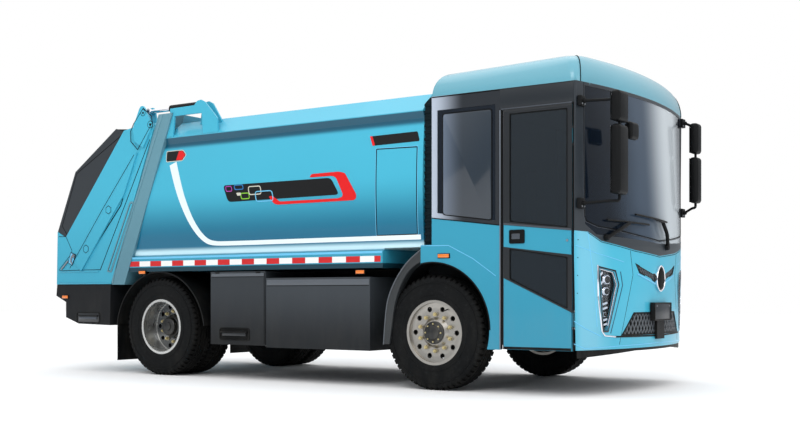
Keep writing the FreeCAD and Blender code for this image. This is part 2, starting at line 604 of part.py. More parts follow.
def rear_wheels():
    """Twin wheels a side: the inner one stands back to back with the outer one's disc."""
    inner_y = "twin_outer_y - twin_spacing"
    outer = revolved("twin_outer", tyre_profile("twin_outer_y"), ("0", "0", "0"))
    inner = revolved("twin_inner", tyre_profile(inner_y), ("0", "0", "0"))
    disc = "rear_disc_y"
    outer_rim = revolved("twin_rim_outer", rim_profile("twin_outer_y", disc, "rear_hub_radius",
                                                       "%s - hub_length" % disc), ("0", "0", "0"))
    barrel = "rim_radius - rim_wall"
    flange = "rim_radius + rim_flange"
    far, near = "%s - rim_width / 2" % inner_y, "%s + rim_width / 2" % inner_y
    inner_rim = revolved("twin_rim_inner", [
        ("rear_hub_radius - rim_lip / 2", "%s - %s" % (disc, "inner_disc_y")),
        ("rear_hub_radius - rim_lip / 2", "%s - disc_thick" % disc), (barrel, "%s - disc_thick" % disc),
        (barrel, "%s + rim_lip" % near), (flange, "%s + rim_lip" % near), (flange, near),
        ("rim_radius", near),
        ("rim_radius", far), (flange, far), (flange, "%s - rim_lip" % far), (barrel, "%s - rim_lip" % far),
        (barrel, "%s - %s" % (disc, "inner_disc_y"))], ("0", "0", "0"))
    rims = fuse("twin_rims", [outer_rim, inner_rim])
    rims = cut("twin_rims_cut", rims, wheel_holes("twin_holes", disc))
    keep_wheel(group("twin_tyres", [outer, inner]), rims, ("rear_tyres", "rear_rims"), rear_axle())


# Cab shell

def front_section(name, height, reach, radius):
    """A level section of the room behind the bowed front, given its reach at the middle and its bow."""
    sketch = doc.addObject("Sketcher::SketchObject", name)
    sketch.setExpression("Placement.Base.z", bound(height))
    side = "%s - %s + sqrt(%s * %s - front_room_y * front_room_y)" % (reach, radius, radius, radius)
    rear = fore("front_room_rear")
    corners = [(side, "-front_room_y"), (side, "front_room_y"), (rear, "front_room_y"),
               (rear, "-front_room_y")]
    spots = [Vector(number(across), number(up), 0) for across, up in corners]
    sketch.addGeometry(Part.Arc(spots[0], Vector(number(reach), 0, 0), spots[1]), False)
    for index in range(1, 4):
        sketch.addGeometry(Part.LineSegment(spots[index], spots[(index + 1) % 4]), False)
    for index in range(4):
        sketch.addConstraint(Sketcher.Constraint("Coincident", index, 2, (index + 1) % 4, 1))
        hold(sketch, index, 1, *corners[index])
    crest = sketch.addGeometry(Part.Point(Vector(number(reach), 0, 0)), True)
    hold(sketch, crest, 1, reach, "0")
    sketch.addConstraint(Sketcher.Constraint("PointOnObject", crest, 1, 0))
    return sketch


def front_room(name, inset, low):
    """All that lies behind the bowed front: a tucked lower band and one that leans back to the roof's bow."""
    reach = "(front_axle_x + front_reach - (%s))" % inset
    bend = front_section("%s_bend" % name, "bend_z", reach, "(front_bow_radius - (%s))" % inset)
    top = front_section("%s_top" % name, "roof_seam_z", "(%s - front_lean)" % reach,
                        "(roof_bow_radius - (%s))" % inset)
    lower = doc.addObject("Part::Extrusion", "%s_low" % name)
    lower.Base = bend
    lower.DirMode = "Custom"
    lower.Solid = True
    lower.LengthFwd = 0
    lower.setExpression("Dir.x", bound("-front_tuck * (bend_z - (%s)) / (bend_z - trim_low_z)" % low))
    lower.setExpression("Dir.z", bound("(%s) - bend_z" % low))
    upper = doc.addObject("Part::Loft", "%s_high" % name)
    upper.Sections = [bend, top]
    upper.Solid = True
    upper.Ruled = True
    return fuse(name, [lower, upper])


def skin_tube(name, inset, wall, low):
    """The bowed front as a skin of one thickness."""
    return cut(name, front_room("%s_out" % name, inset, low),
               front_room("%s_in" % name, "(%s) + (%s)" % (inset, wall), low))


def front_piece(name, points, inset, wall, low="trim_low_z"):
    """A piece of the bowed front inside an outline seen from ahead."""
    field = plate("%s_field" % name, "YZ_Plane", points, fore("pillar_front"), "front_reach")
    return common(name, skin_tube("%s_skin" % name, inset, wall, low), field)


def front_vee(lift="0"):
    """The lower edge of the dark screen surround, from the middle out to the corner."""
    return [("0", "vee_z + (%s)" % lift), ("vee_mid_y", "vee_mid_z + (%s)" % lift),
            ("vee_out_y", "vee_out_z + (%s)" % lift),
            ("vee_corner_y", "belt_front_z - vee_corner_drop + (%s)" % lift),
            ("half_width", "belt_front_z + (%s)" % lift)]


def glass_edge(grow="0"):
    side, top = "glass_corner_y + (%s)" % grow, "glass_top_z + (%s)" % grow
    return [("0", "glass_vee_z - (%s)" % grow), ("glass_low_y", "glass_low_z - (%s)" % grow),
            (side, "glass_corner_z"), (side, top), ("0", top)]


def whole_front(points):
    """An outline from the middle plane outwards, closed by its mirror image."""
    inner = [point for point in points if point[0] != "0"]
    middle = [point for point in points if point[0] == "0"]
    ring = [middle[0]] + inner + middle[1:]
    return ring + [("-(%s)" % across, up) for across, up in reversed(inner)]


def lamp_outline(grow="0"):
    return [("-lamp_low_out_y - (%s)" % grow, "lamp_low_z - (%s)" % grow),
            ("-lamp_low_in_y + (%s)" % grow, "lamp_low_z - (%s)" % grow),
            ("-lamp_side_y + (%s)" % grow, "lamp_side_z"),
            ("-lamp_top_in_y + (%s)" % grow, "lamp_top_z - lamp_top_slope + (%s)" % grow),
            ("-lamp_top_out_y - (%s)" % grow, "lamp_top_z + (%s)" % grow)]


def front_cutter(name, points):
    return plate(name, "YZ_Plane", points, fore("pillar_front"), "front_reach")


def cab_front_panel():
    outline_points = whole_front([("0", "front_low_z"), ("half_width", "front_low_z")] +
                                 list(reversed(front_vee())))
    panel = front_piece("front_panel_solid", outline_points, "0", "skin_wall", "front_low_z")
    lamp = front_cutter("lamp_hole", lamp_outline("seat_gap"))
    wing = front_cutter("wing_hole", wing_points("seat_gap"))
    low = front_cutter("grille_hole", grille_points("seat_gap"))
    tools = fuse("front_holes", [lamp, mirrored("lamp_hole_left", lamp), wing,
                                 mirrored("wing_hole_left", wing), low])
    return keep(cut("cab_front_panel", panel, tools), "cab_front_panel")


def wing_points(grow="0"):
    """The right half of the upper grille, from its outer tip in to the badge's place."""
    inner = "-wing_in_y + (%s)" % grow
    return [("-wing_out_y - (%s)" % grow, "wing_top_z + (%s)" % grow),
            ("-wing_low_y", "wing_low_z - (%s)" % grow),
            (inner, "wing_in_low_z - (%s)" % grow), (inner, "wing_in_top_z + (%s)" % grow)]


def grille_points(grow="0"):
    return [("-grille_low_y - (%s)" % grow, "grille_low_z - (%s)" % grow),
            ("grille_low_y + (%s)" % grow, "grille_low_z - (%s)" % grow),
            ("grille_top_y + (%s)" % grow, "grille_top_z + (%s)" % grow),
            ("-grille_top_y - (%s)" % grow, "grille_top_z + (%s)" % grow)]


def front_grilles():
    wing = front_piece("wing_right", wing_points(), "wing_inset", "grille_thick")
    low = front_piece("grille_low", grille_points(), "grille_inset", "grille_thick")
    return keep(group("front_grilles", [wing, mirrored("wing_left", wing), low]), "front_grilles")


def headlamps():
    lamp = front_piece("lamp_right", lamp_outline(), "lamp_inset", "skin_wall - lamp_inset")
    return keep(pair("headlamps", lamp), "headlamps")


def bumper_trim():
    """The dark lower lip and the blank plate's holder on its stem."""
    lip = front_piece("bumper_lip", [
        ("-half_width", "trim_low_z"), ("-lip_mid_y", "lip_mid_z"), ("lip_mid_y", "lip_mid_z"),
        ("half_width", "trim_low_z"), ("half_width", "front_low_z - seat_gap"),
        ("-half_width", "front_low_z - seat_gap")], "lip_inset", "lip_thick")
    rear = "front_reach - front_tuck * (bend_z - plate_top_z) / (bend_z - trim_low_z) + seat_gap"
    holder = block("plate_holder", (fore(rear), "-plate_half", "plate_low_z"),
                   (fore("%s + plate_thick" % rear), "plate_half", "plate_top_z"))
    stem = block("plate_stem", (fore(rear), "-stem_half", "stem_low_z"),
                 (fore("%s + plate_thick / 2" % rear), "stem_half", "plate_low_z"))
    return keep(group("bumper_trim", [lip, fuse("plate_mount", [holder, stem])]), "bumper_trim")


def windscreen():
    return front_piece("windscreen_glass", whole_front(glass_edge()), "glass_inset", "glass_thick")


def window_surround():
    """The dark frames round the glass: the screen's surround and one upper frame a side."""
    ring = whole_front([("0", "vee_z + seat_gap")] + front_vee("seat_gap")[1:] +
                       [("half_width", "roof_seam_z - seat_gap"), ("0", "roof_seam_z - seat_gap")])
    surround = front_piece("screen_surround_solid", ring, "0", "skin_wall")
    hole = front_cutter("screen_hole", whole_front(glass_edge("seat_gap")))
    surround = cut("screen_surround", surround, hole)
    upper = plate("upper_frame", "XZ_Plane", [
        ("front_axle_x", "belt_rear_z + seat_gap"), (fore("pillar_rear"), "belt_mid_z + seat_gap"),
        (fore("pillar_rear"), "head_z + moving_gap"), (fore("pillar_front"), "head_z + moving_gap"),
        (fore("pillar_front"), "roof_seam_z - seat_gap"), ("front_axle_x", "roof_seam_z - seat_gap")],
        "half_width - cab_wall", "cab_wall")
    pocket(upper, "XZ_Plane", side_window("seat_gap"), "half_width - cab_wall", "cab_wall")
    return keep(group("window_surround", [surround, upper, mirrored("upper_frame_left", upper)]),
                "window_surround")


def side_window(grow="0"):
    rear, front = fore("window_rear - (%s)" % grow), fore("window_front + (%s)" % grow)
    return [(rear, "belt_rear_z + window_rise - (%s)" % grow),
            (front, "belt_mid_z + window_rise - (%s)" % grow),
            (front, "window_top_z + (%s)" % grow), (rear, "window_top_z + (%s)" % grow)]


def cab_glass():
    side = plate("side_glass", "XZ_Plane", side_window(), "half_width - glass_inset - glass_thick",
                 "glass_thick")
    return keep(group("cab_glass", [windscreen(), side, mirrored("side_glass_left", side)]), "cab_glass")


def cab_sides():
    """The blue lower side panels with their wheel arches."""
    side = plate("side_panel_solid", "XZ_Plane", [
        (fore("pillar_rear"), "cab_low_z"), (fore("pillar_rear"), "belt_mid_z"),
        ("front_axle_x", "belt_rear_z"),
        ("front_axle_x", "crease_z"), (aft("fender_rear"), "crease_z"), (aft("fender_rear"), "arch_z"),
        ("front_axle_x", "cab_low_z")], "half_width - cab_wall", "cab_wall")
    arch = rod("arch_cutter", "arch_radius", "cab_wall + 2 * cut_spare",
               ("front_axle_x", "-half_width - cut_spare", "arch_z"), "y")
    foot = block("arch_foot", (aft("fender_rear + cut_spare"), "-half_width - cut_spare", "0"),
                 (fore("arch_radius - arch_foot_short"), "cut_spare + cab_wall - half_width", "arch_z"))
    side = cut("side_panel", side, fuse("arch_space", [arch, foot]))
    return keep(pair("cab_sides", side), "cab_sides")


def dome(name, inset):
    """The rounded roof from its side, its front and its plan."""
    less, top, seam = "- (%s)" % inset, "%s - (%s)" % (ROOF_TOP, inset), "roof_seam_z - (%s)" % inset
    front = "front_reach - front_lean"
    nose = (fore("%s - dome_nose %s" % (front, less)), "%s - dome_drop" % top)
    brow = (fore("%s - dome_lip %s" % (front, less)), "%s + dome_lip_rise" % seam)
    back = (fore("dome_rear + (%s)" % inset), "%s - dome_drop" % top)
    side = plate("%s_side" % name, "XZ_Plane", [
        (fore(inset), seam), (fore("%s %s" % (front, less)), seam), brow, nose,
        (fore("dome_crown"), top), back], "(%s) - half_width" % inset, "2 * (half_width - (%s))" % inset)
    for corner, size in ((nose, "dome_nose_round"), (brow, "dome_side_round"), (back, "dome_rear_round")):
        round_edges(side, "y", [corner], size)
    shoulder = ("half_width - dome_shoulder %s" % less, "%s - dome_shoulder_drop" % top)
    cheek = ("half_width - dome_side_lean %s" % less, "%s + dome_side_rise" % seam)
    across = plate("%s_across" % name, "YZ_Plane", both_sides([
        ("half_width %s" % less, seam), cheek, shoulder, ("half_width - dome_crown_y", top)]),
        "front_axle_x", "front_reach")
    for corner, size in ((shoulder, "dome_top_round"), (cheek, "dome_side_round")):
        round_edges(across, "x", both_sides([corner]), size)
    bow = rod("%s_bow" % name, "roof_bow_radius %s" % less, ROOF_TOP,
              (fore("%s - roof_bow_radius" % front), "0", "0"), "z")
    return common(name, common("%s_pair" % name, side, across), bow)


def cab_roof():
    return keep(cut("cab_roof", dome("roof_outer", "0"), dome("roof_inner", "cab_wall")), "cab_roof")


def cab_floor():
    """The low step floor, the riser ahead of the wheels and the deck over them."""
    inside = "half_width - cab_wall - seat_gap"
    rear, riser = fore("cab_wall + seat_gap"), fore("deck_front - floor_thick")
    body = plate("floor_solid", "XZ_Plane", [
        (rear, "deck_z - floor_thick"), (riser, "deck_z - floor_thick"), (riser, "floor_z - floor_thick"),
        (fore("front_reach"), "floor_z - floor_thick"), (fore("front_reach"), "floor_z"),
        (fore("deck_front"), "floor_z"), (fore("deck_front"), "deck_z"), (rear, "deck_z")],
        "-(%s)" % inside, "2 * (%s)" % inside)
    bow = rod("floor_bow", "front_bow_radius - skin_wall - front_tuck - seat_gap", ROOF_TOP,
              (fore("front_reach - front_bow_radius"), "0", "0"), "z")
    return keep(common("cab_floor", body, bow), "cab_floor")


def cab_rear_wall():
    inside = "half_width - cab_wall - seat_gap"
    return keep(block("cab_rear_wall", ("front_axle_x", "-(%s)" % inside, "deck_z - floor_thick"),
                      (fore("cab_wall"), inside, "roof_seam_z - seat_gap")), "cab_rear_wall")


def dashboard():
    """The dashboard across the cab with the column and the steering wheel."""
    inside = "half_width - cab_wall - dash_side"
    board = plate("dash_solid", "XZ_Plane", [
        (fore("dash_rear + dash_nose"), "dash_low_z"), (fore("front_reach"), "dash_low_z"),
        (fore("front_reach"), "dash_top_z - dash_sill"), (fore("front_reach"), "dash_top_z - dash_brow"),
        (fore("dash_rear + dash_brow"), "dash_top_z"), (fore("dash_rear"), "dash_top_z - dash_nose")],
        "-(%s)" % inside, "2 * (%s)" % inside)
    board = common("dash_board", board, front_room("dash_room", "skin_wall + seat_gap", "trim_low_z"))
    rake = FreeCAD.Placement(Vector(), Rotation(Vector(0, 1, 0), number("column_rake")))
    column = doc.addObject("Part::Cylinder", "steering_column")
    column.setExpression("Radius", bound("column_radius"))
    column.setExpression("Height", bound("column_length"))
    ring = doc.addObject("Part::Torus", "steering_ring")
    ring.setExpression("Radius1", bound("wheel_ring"))
    ring.setExpression("Radius2", bound("wheel_rim"))
    for piece in (column, ring):
        piece.Placement = rake
        put(piece, (fore("wheel_x"), "seat_y", "wheel_z"))
    spoke = doc.addObject("Part::Box", "steering_spoke")
    for side, size in (("Length", "spoke_width"), ("Width", "2 * wheel_ring"), ("Height", "spoke_thick")):
        spoke.setExpression(side, bound(size))
    spoke.Placement = rake
    put(spoke, (fore("wheel_x + spoke_rise"), "seat_y - wheel_ring", "wheel_z + spoke_rise"))
    return keep(fuse("dashboard", [board, column, ring, spoke]), "dashboard")


def seats():
    base = block("seat_base", (fore("seat_x - seat_base_half"), "seat_y - seat_base_half", "deck_z"),
                 (fore("seat_x + seat_base_half"), "seat_y + seat_base_half", "seat_low_z"))
    pan = block("seat_pan", (fore("seat_x - seat_length / 2"), "seat_y - seat_half", "seat_low_z"),
                (fore("seat_x + seat_length / 2"), "seat_y + seat_half", "seat_low_z + seat_thick"))
    lap = "seat_x - seat_length / 2 + seat_back_lap"
    back = block("seat_back", (fore("%s - seat_back_thick" % lap), "seat_y - seat_half",
                               "seat_low_z + seat_back_rise"),
                 (fore(lap), "seat_y + seat_half", "seat_back_z"))
    seat = fuse("seat_left", [base, pan, back])
    return keep(group("seats", [seat, mirrored("seat_right", seat)]), "seats")


def skin_place(across, height):
    """Where a seat on the leaning front is, at a place across and a height."""
    share = "((%s) - bend_z) / (roof_seam_z - bend_z)" % height
    low, high = ("%s + sqrt(%s * %s - %s * %s)" % (start, bow, bow, across, across) for start, bow in (
        ("front_reach - front_bow_radius", "front_bow_radius"),
        ("front_reach - front_lean - roof_bow_radius", "roof_bow_radius")))
    return "front_axle_x + (%s) + ((%s) - (%s)) * %s + foot_gap" % (low, high, low, share)


def mirror_set(name, x, y):
    """Arms from two feet on the front pillar with a tall lower and a shorter upper mirror."""
    rear, front = "%s - mirror_depth / 2" % x, "%s + mirror_depth / 2" % x
    inner, outer = "%s - mirror_half" % y, "%s + mirror_half - mirror_split" % y
    pieces = [block("%s_upper" % name, (fore(rear), inner, "mirror_mid_z + mirror_split"),
                    (fore(front), outer, "mirror_top_z")),
              block("%s_lower" % name, (fore(rear), inner, "mirror_low_z"),
                    (fore(front), outer, "mirror_mid_z - mirror_split")),
              rod("%s_spine" % name, "mirror_arm_radius", "mirror_arm_z - mirror_foot_z",
                  (fore(x), y, "mirror_foot_z"), "z")]
    for end, level in (("high", "mirror_arm_z"), ("low", "mirror_foot_z")):
        low = "%s - foot_half" % level
        foot = plate("%s_foot_%s" % (name, end), "XY_Plane", [
            (skin_place("foot_in_y", low), "foot_in_y"), (fore("foot_front"), "foot_in_y"),
            (fore("foot_front"), "foot_out_y"), (skin_place("foot_out_y", low), "foot_out_y")],
            low, "2 * foot_half")
        pieces += [foot, rod(
            "%s_arm_%s" % (name, end), "mirror_arm_radius",
            "%s + mirror_arm_radius - foot_front + foot_half / 2" % x,
            (fore("foot_front - foot_half / 2"), y, level), "x")]
    return pieces


def mirrors():
    """The right side's mirrors with a kerb mirror further in, and the left side's."""
    right = mirror_set("mirror", "mirror_x", "mirror_y")
    right.append(rod("kerb_arm", "kerb_arm_radius", "mirror_y - kerb_mirror_y",
                     (fore("mirror_x"), "kerb_mirror_y", "kerb_mirror_top_z - kerb_arm_radius"), "y"))
    right.append(block("kerb_mirror", (fore("mirror_x - mirror_depth / 3"), "kerb_mirror_y - kerb_mirror_half",
                                       "kerb_mirror_low_z"),
                       (fore("mirror_x + mirror_depth / 2"), "kerb_mirror_y + kerb_mirror_half",
                        "kerb_mirror_top_z")))
    left = fuse("far_mirror_set", mirror_set("far_mirror", "far_mirror_x", "far_mirror_y"))
    return keep(group("mirrors", [mirrored("mirrors_right", fuse("mirror_near_set", right)), left]), "mirrors")


def door_outline():
    return [(fore("door_rear"), "door_low_z"), (fore("door_front"), "door_low_z"),
            (fore("door_front"), "head_z"), (fore("door_rear"), "head_z")]


def door_windows(grow="0"):
    rear = fore("door_rear + door_stile - (%s)" % grow)
    front = fore("door_front - door_stile / 2 + (%s)" % grow)
    top = "door_glass_top_z + (%s)" % grow
    upper = [(rear, "belt_mid_z + sash_rear_rise - (%s)" % grow),
             (front, "belt_front_z + sash_front_rise - (%s)" % grow), (front, top), (rear, top)]
    lower = [(rear, "sash_low_rear_z - pane_rear_drop - (%s)" % grow),
             (front, "sash_low_front_z + pane_front_rise - (%s)" % grow),
             (front, "band_low_front_z - pane_top_drop + (%s)" % grow),
             (rear, "band_low_rear_z - pane_top_drop + (%s)" % grow)]
    return upper, lower


def hinge_levels():
    return ("hinge_low_z", "hinge_high_z")


def doors():
    """Each door cut for its two windows, with two barrels on the hinge line."""
    body = plate("door_leaf", "XZ_Plane", door_outline(), "half_width - door_thick", "door_thick")
    for points in door_windows("seat_gap"):
        pocket(body, "XZ_Plane", points, "half_width - door_thick", "door_thick")
    pieces = [body]
    bores = []
    for index, level in enumerate(hinge_levels()):
        pieces.append(rod("barrel_%d" % index, "hinge_barrel_radius", "hinge_length",
                          (fore("hinge_x"), "-" + HINGE_Y, level), "z"))
        pieces.append(block("leaf_%d" % index,
                            (fore("door_front - hinge_leaf"), "-%s - hinge_leaf" % HINGE_Y, level),
                            (fore("hinge_x"), "hinge_leaf - " + HINGE_Y, "%s + hinge_length" % level)))
        bores.append(rod("door_bore_%d" % index, "hinge_pin_radius + shaft_gap", "2 * hinge_length",
                         (fore("hinge_x"), "-" + HINGE_Y, "%s - hinge_length / 2" % level), "z"))
    solid = keep(cut("door_solid", fuse("door_raw", pieces), fuse("door_bores", bores)), "door_right")
    panes = [plate("door_pane_%d" % index, "XZ_Plane", points, "half_width - glass_inset - glass_thick",
                   "glass_thick") for index, points in enumerate(door_windows())]
    glass = keep(group("door_panes", panes), "door_glass_right")
    keep(mirrored("door_turned", solid), "door_left")
    keep(mirrored("door_glass_turned", glass), "door_glass_left")


def door_hinges():
    """The hinge pins, each held in two ears on the front pillar."""
    pieces = []
    for index, level in enumerate(hinge_levels()):
        foot = "%s - hinge_pin_spare" % level
        pin = rod("hinge_pin_%d" % index, "hinge_pin_radius", "hinge_length + 2 * hinge_pin_spare",
                  (fore("hinge_x"), "-" + HINGE_Y, foot), "z")
        ears = []
        for name, low in (("low", foot), ("high", "%s + hinge_length + moving_gap" % level)):
            ears.append(block(
                "hinge_ear_%s_%d" % (name, index), (fore("hinge_x - hinge_ear_half"),
                                                    "-%s - hinge_ear_half" % HINGE_Y, low),
                (fore("pillar_front - seat_gap"), "hinge_ear_half - " + HINGE_Y, "%s + hinge_ear_thick" % low)))
        pieces.append(fuse("hinge_%d" % index, [pin] + ears))
    both = group("hinges_right", pieces)
    return keep(group("door_hinges", [both, mirrored("hinges_left", both)]), "door_hinges")


# Container and its fittings

def container_outline():
    return [
        ("band_y", "box_low_z"), ("band_y", "band_top_z"),
        ("side_low_y", "side_low_z", "side_mid_y", "side_mid_z"), ("groove_y", "groove_z"),
        ("chamfer_low_y", "chamfer_low_z"), ("chamfer_top_y", "chamfer_top_z", "0", "crown_z"),
        ("-chamfer_top_y", "chamfer_top_z"), ("-chamfer_low_y", "chamfer_low_z"),
        ("-groove_y", "groove_z", "-side_mid_y", "side_mid_z"), ("-side_low_y", "side_low_z"),
        ("-band_y", "band_top_z"), ("-band_y", "box_low_z")]


def container():
    """The bowed container, open at the rear where the ring frame joins it."""
    outer = new_body("container_outer")
    start = "ring_rear_low + box_lap"
    pad(outer, "YZ_Plane", container_outline(), aft(start), "%s - box_front" % start)
    low, rear, top = "ring_low_z - cut_reach", aft("ring_rear_low + 4 * cut_reach"), ROOF_TOP
    behind = [(aft(ring_front(low)), low), (aft(ring_front(top)), top), (rear, top), (rear, low)]
    pocket(outer, "XZ_Plane", behind, "-half_width", "2 * half_width")
    front = aft("box_front - cut_spare")
    pocket(outer, "XZ_Plane", rectangle(aft("step_rear"), "box_low_z - cut_spare", front, "step_z"),
           "-half_width", "2 * half_width")
    inner = new_body("container_inner")
    wall = "box_wall"
    pad(inner, "YZ_Plane", [
        ("side_low_y - %s" % wall, "box_floor_z"),
        ("side_low_y - %s" % wall, "side_low_z", "side_mid_y - %s" % wall, "side_mid_z"),
        ("groove_y - %s" % wall, "groove_z"),
        ("chamfer_top_y - %s / 2" % wall, "chamfer_top_z - %s" % wall, "0", "crown_z - %s" % wall),
        ("%s / 2 - chamfer_top_y" % wall, "chamfer_top_z - %s" % wall),
        ("%s - groove_y" % wall, "groove_z", "%s - side_mid_y" % wall, "side_mid_z"),
        ("%s - side_low_y" % wall, "side_low_z"), ("%s - side_low_y" % wall, "box_floor_z")],
        aft(start), "%s - box_front - box_wall" % start)
    pocket(inner, "XZ_Plane", rectangle(aft("step_rear + box_wall"), "box_floor_z - cut_spare",
                                        front, "step_z + box_wall"), "-half_width", "2 * half_width")
    return keep(cut("container", outer, inner), "container")


def ring_frame():
    """The sloped frame that the tailgate closes against, with the pivot lugs."""
    ring = plate("ring_solid", "XZ_Plane", [
        (aft(ring_rear("ring_low_z")), "ring_low_z"), (aft(ring_front("ring_low_z")), "ring_low_z"),
        (aft(ring_front("ring_top_z")), "ring_top_z"), (aft(ring_rear("ring_top_z")), "ring_top_z")],
        "-ring_y", "2 * ring_y")
    mouth = plate("ring_mouth", "YZ_Plane", rectangle(
        "ring_side - ring_y", "ring_opening_low_z", "ring_y - ring_side", "ring_opening_top_z"),
        aft("ring_rear_low + cut_reach"), "ring_rear_low")
    notch = block("ring_notch", (aft("pivot_rear"), "notch_in_y", "ring_top_z - notch_depth"),
                  (aft("anchor_rear"), "notch_out_y", "ring_top_z + 2 * cut_spare"))
    frame = cut("ring_open", ring, fuse("ring_tools", [mouth, notch, mirrored("ring_notch_other", notch)]))
    top, foot = "pivot_z + lug_half", "pivot_z - lug_foot"
    lug = plate("ring_lug", "XZ_Plane", [
        (aft("%s - cut_spare" % ring_rear(top)), top), (aft("pivot_rear"), top),
        (aft("pivot_rear + lug_half"), "pivot_z"), (aft("pivot_rear"), "pivot_z - lug_half"),
        (aft("%s - cut_spare" % ring_rear(foot)), foot)], "lug_in_y", "lug_thick")
    bore = rod("ring_lug_bore", "pivot_radius + shaft_gap", "lug_thick + 2 * cut_spare",
               (aft("pivot_rear"), "-lug_in_y - lug_thick - cut_spare", "pivot_z"), "y")
    lug = cut("ring_lug_bored", lug, bore)
    return keep(fuse("ring_frame", [frame, lug, mirrored("ring_lug_left", lug)]), "ring_frame")


def roof_guards():
    """Two arched plates a side that carry a lift cylinder's anchor pin."""
    crest = [(aft("guard_top + guard_step"), "guard_top_z - guard_crest_drop"),
             (aft("guard_top"), "guard_top_z"),
             (aft("guard_top - guard_step"), "guard_top_z - guard_step / 2")]
    arch = plate("guard_solid", "XZ_Plane", [
        (aft("%s - seat_gap" % ring_front("guard_base_z")), "guard_base_z"),
        (aft("%s - seat_gap" % ring_front("ring_top_z")), "ring_top_z + seat_gap"),
        (aft("guard_rear"), "ring_top_z + seat_gap"), (aft("guard_rear"), "guard_bar_z"),
        (aft("guard_bar_front"), "guard_bar_z + guard_bar_rise")] + crest +
        [(aft("guard_front"), "guard_foot_z"), (aft("guard_front - guard_lean"), "guard_base_z")],
        "lift_y + guard_gap", "guard_thick")
    foot = "guard_base_z - guard_hole_foot"
    pocket(arch, "XZ_Plane", [
        (aft("guard_hole_rear + guard_hole_lean"), foot), (aft("guard_hole_rear"), "guard_hole_z"),
        (aft("guard_hole_front + guard_thick"), "guard_hole_z"), (aft("guard_hole_front"), foot)],
        "lift_y + guard_gap", "guard_thick")
    inner = plate("guard_inner_solid", "XZ_Plane", [
        (aft("guard_bar_front + guard_inner_step"), "guard_base_z"),
        (aft("guard_bar_front"), "guard_bar_z + guard_bar_rise")] + crest +
        [(aft("guard_front + guard_inner_toe"), "guard_foot_z"),
         (aft("guard_front + guard_inner_foot"), "guard_base_z")],
        "lift_y - guard_gap - guard_thick", "guard_thick")
    pin = rod("anchor_pin", "lift_pin", "2 * (guard_gap + guard_thick)",
              (aft("anchor_rear"), "-lift_y - guard_gap - guard_thick", "lift_z"), "y")
    body = new_body("roof_block")
    pad(body, "YZ_Plane", [
        ("groove_y", "box_low_z"), ("groove_y", "groove_z"),
        ("chamfer_low_y + 2 * seat_gap", "chamfer_low_z"),
        ("chamfer_top_y + seat_gap", "chamfer_top_z + seat_gap", "0", "crown_z + seat_gap"),
        ("-chamfer_top_y - seat_gap", "chamfer_top_z + seat_gap"),
        ("-chamfer_low_y - 2 * seat_gap", "chamfer_low_z"), ("-groove_y", "groove_z"),
        ("-groove_y", "box_low_z")],
        aft("ring_rear_low"), "ring_rear_low - box_front")
    side = cut("guard_set", fuse("guard_raw", [arch, inner, pin]), body)
    return keep(pair("roof_guards", side), "roof_guards")


def side_lockers():
    lockers = []
    inner = "rail_inner_y + rail_flange + seat_gap"
    for name, rear in (("one", LOCKER_ONE_REAR), ("two", "locker_two_rear")):
        body = plate("locker_%s" % name, "XZ_Plane", rectangle(
            aft(rear), "locker_%s_low_z" % name, aft("locker_%s_front" % name), "locker_%s_top_z" % name),
            inner, "locker_y - (%s)" % inner)
        lockers += [body, mirrored("locker_%s_left" % name, body)]
    return keep(group("side_lockers", lockers), "side_lockers")


def wing_trims():
    """The grey half fender behind each front wheel."""
    sector = plate("trim_sector", "XZ_Plane", [
        (aft("fender_rear + seat_gap"), "fender_low_z"), (aft("fender_rear + seat_gap"), "arch_z"),
        (aft("arch_radius - trim_wide"), "trim_foot_z"),
        (aft("arch_radius + trim_wide"), "trim_foot_z"), (aft("arch_radius + trim_wide"), "trim_side_z"),
        (aft("trim_top"), "fender_low_z")], "trim_y - trim_depth", "trim_depth")
    arch = rod("trim_cutter", "arch_radius", "trim_depth + 2 * cut_spare",
               ("front_axle_x", "-trim_y - cut_spare", "arch_z"), "y")
    return keep(pair("wing_trims", cut("trim_right", sector, arch)), "wing_trims")


def rear_fenders():
    """The plastic arch over each pair of twin wheels with its mud flap."""
    crown = "box_low_z - seat_gap"
    body = plate("fender_arch", "XZ_Plane", [
        (rear_axle("fender_end"), "fender_end_z", rear_axle(), crown),
        (rear_axle("-fender_end"), "fender_end_z"),
        (rear_axle("fender_wall - fender_end"), "fender_end_z", rear_axle(), "%s - fender_wall" % crown),
        (rear_axle("fender_end - fender_wall"), "fender_end_z")], "fender_in_y", "locker_y - fender_in_y")
    flap = block("mud_flap", (rear_axle("-fender_end - flap_thick - seat_gap"), "-locker_y + flap_side",
                              "flap_low_z"),
                 (rear_axle("-fender_end - seat_gap"), "-fender_in_y - flap_inner", "fender_end_z + flap_lap"))
    return keep(group("rear_fenders", [body, mirrored("fender_left", body), flap, mirrored("flap_left", flap)]),
                "rear_fenders")


# Tailgate

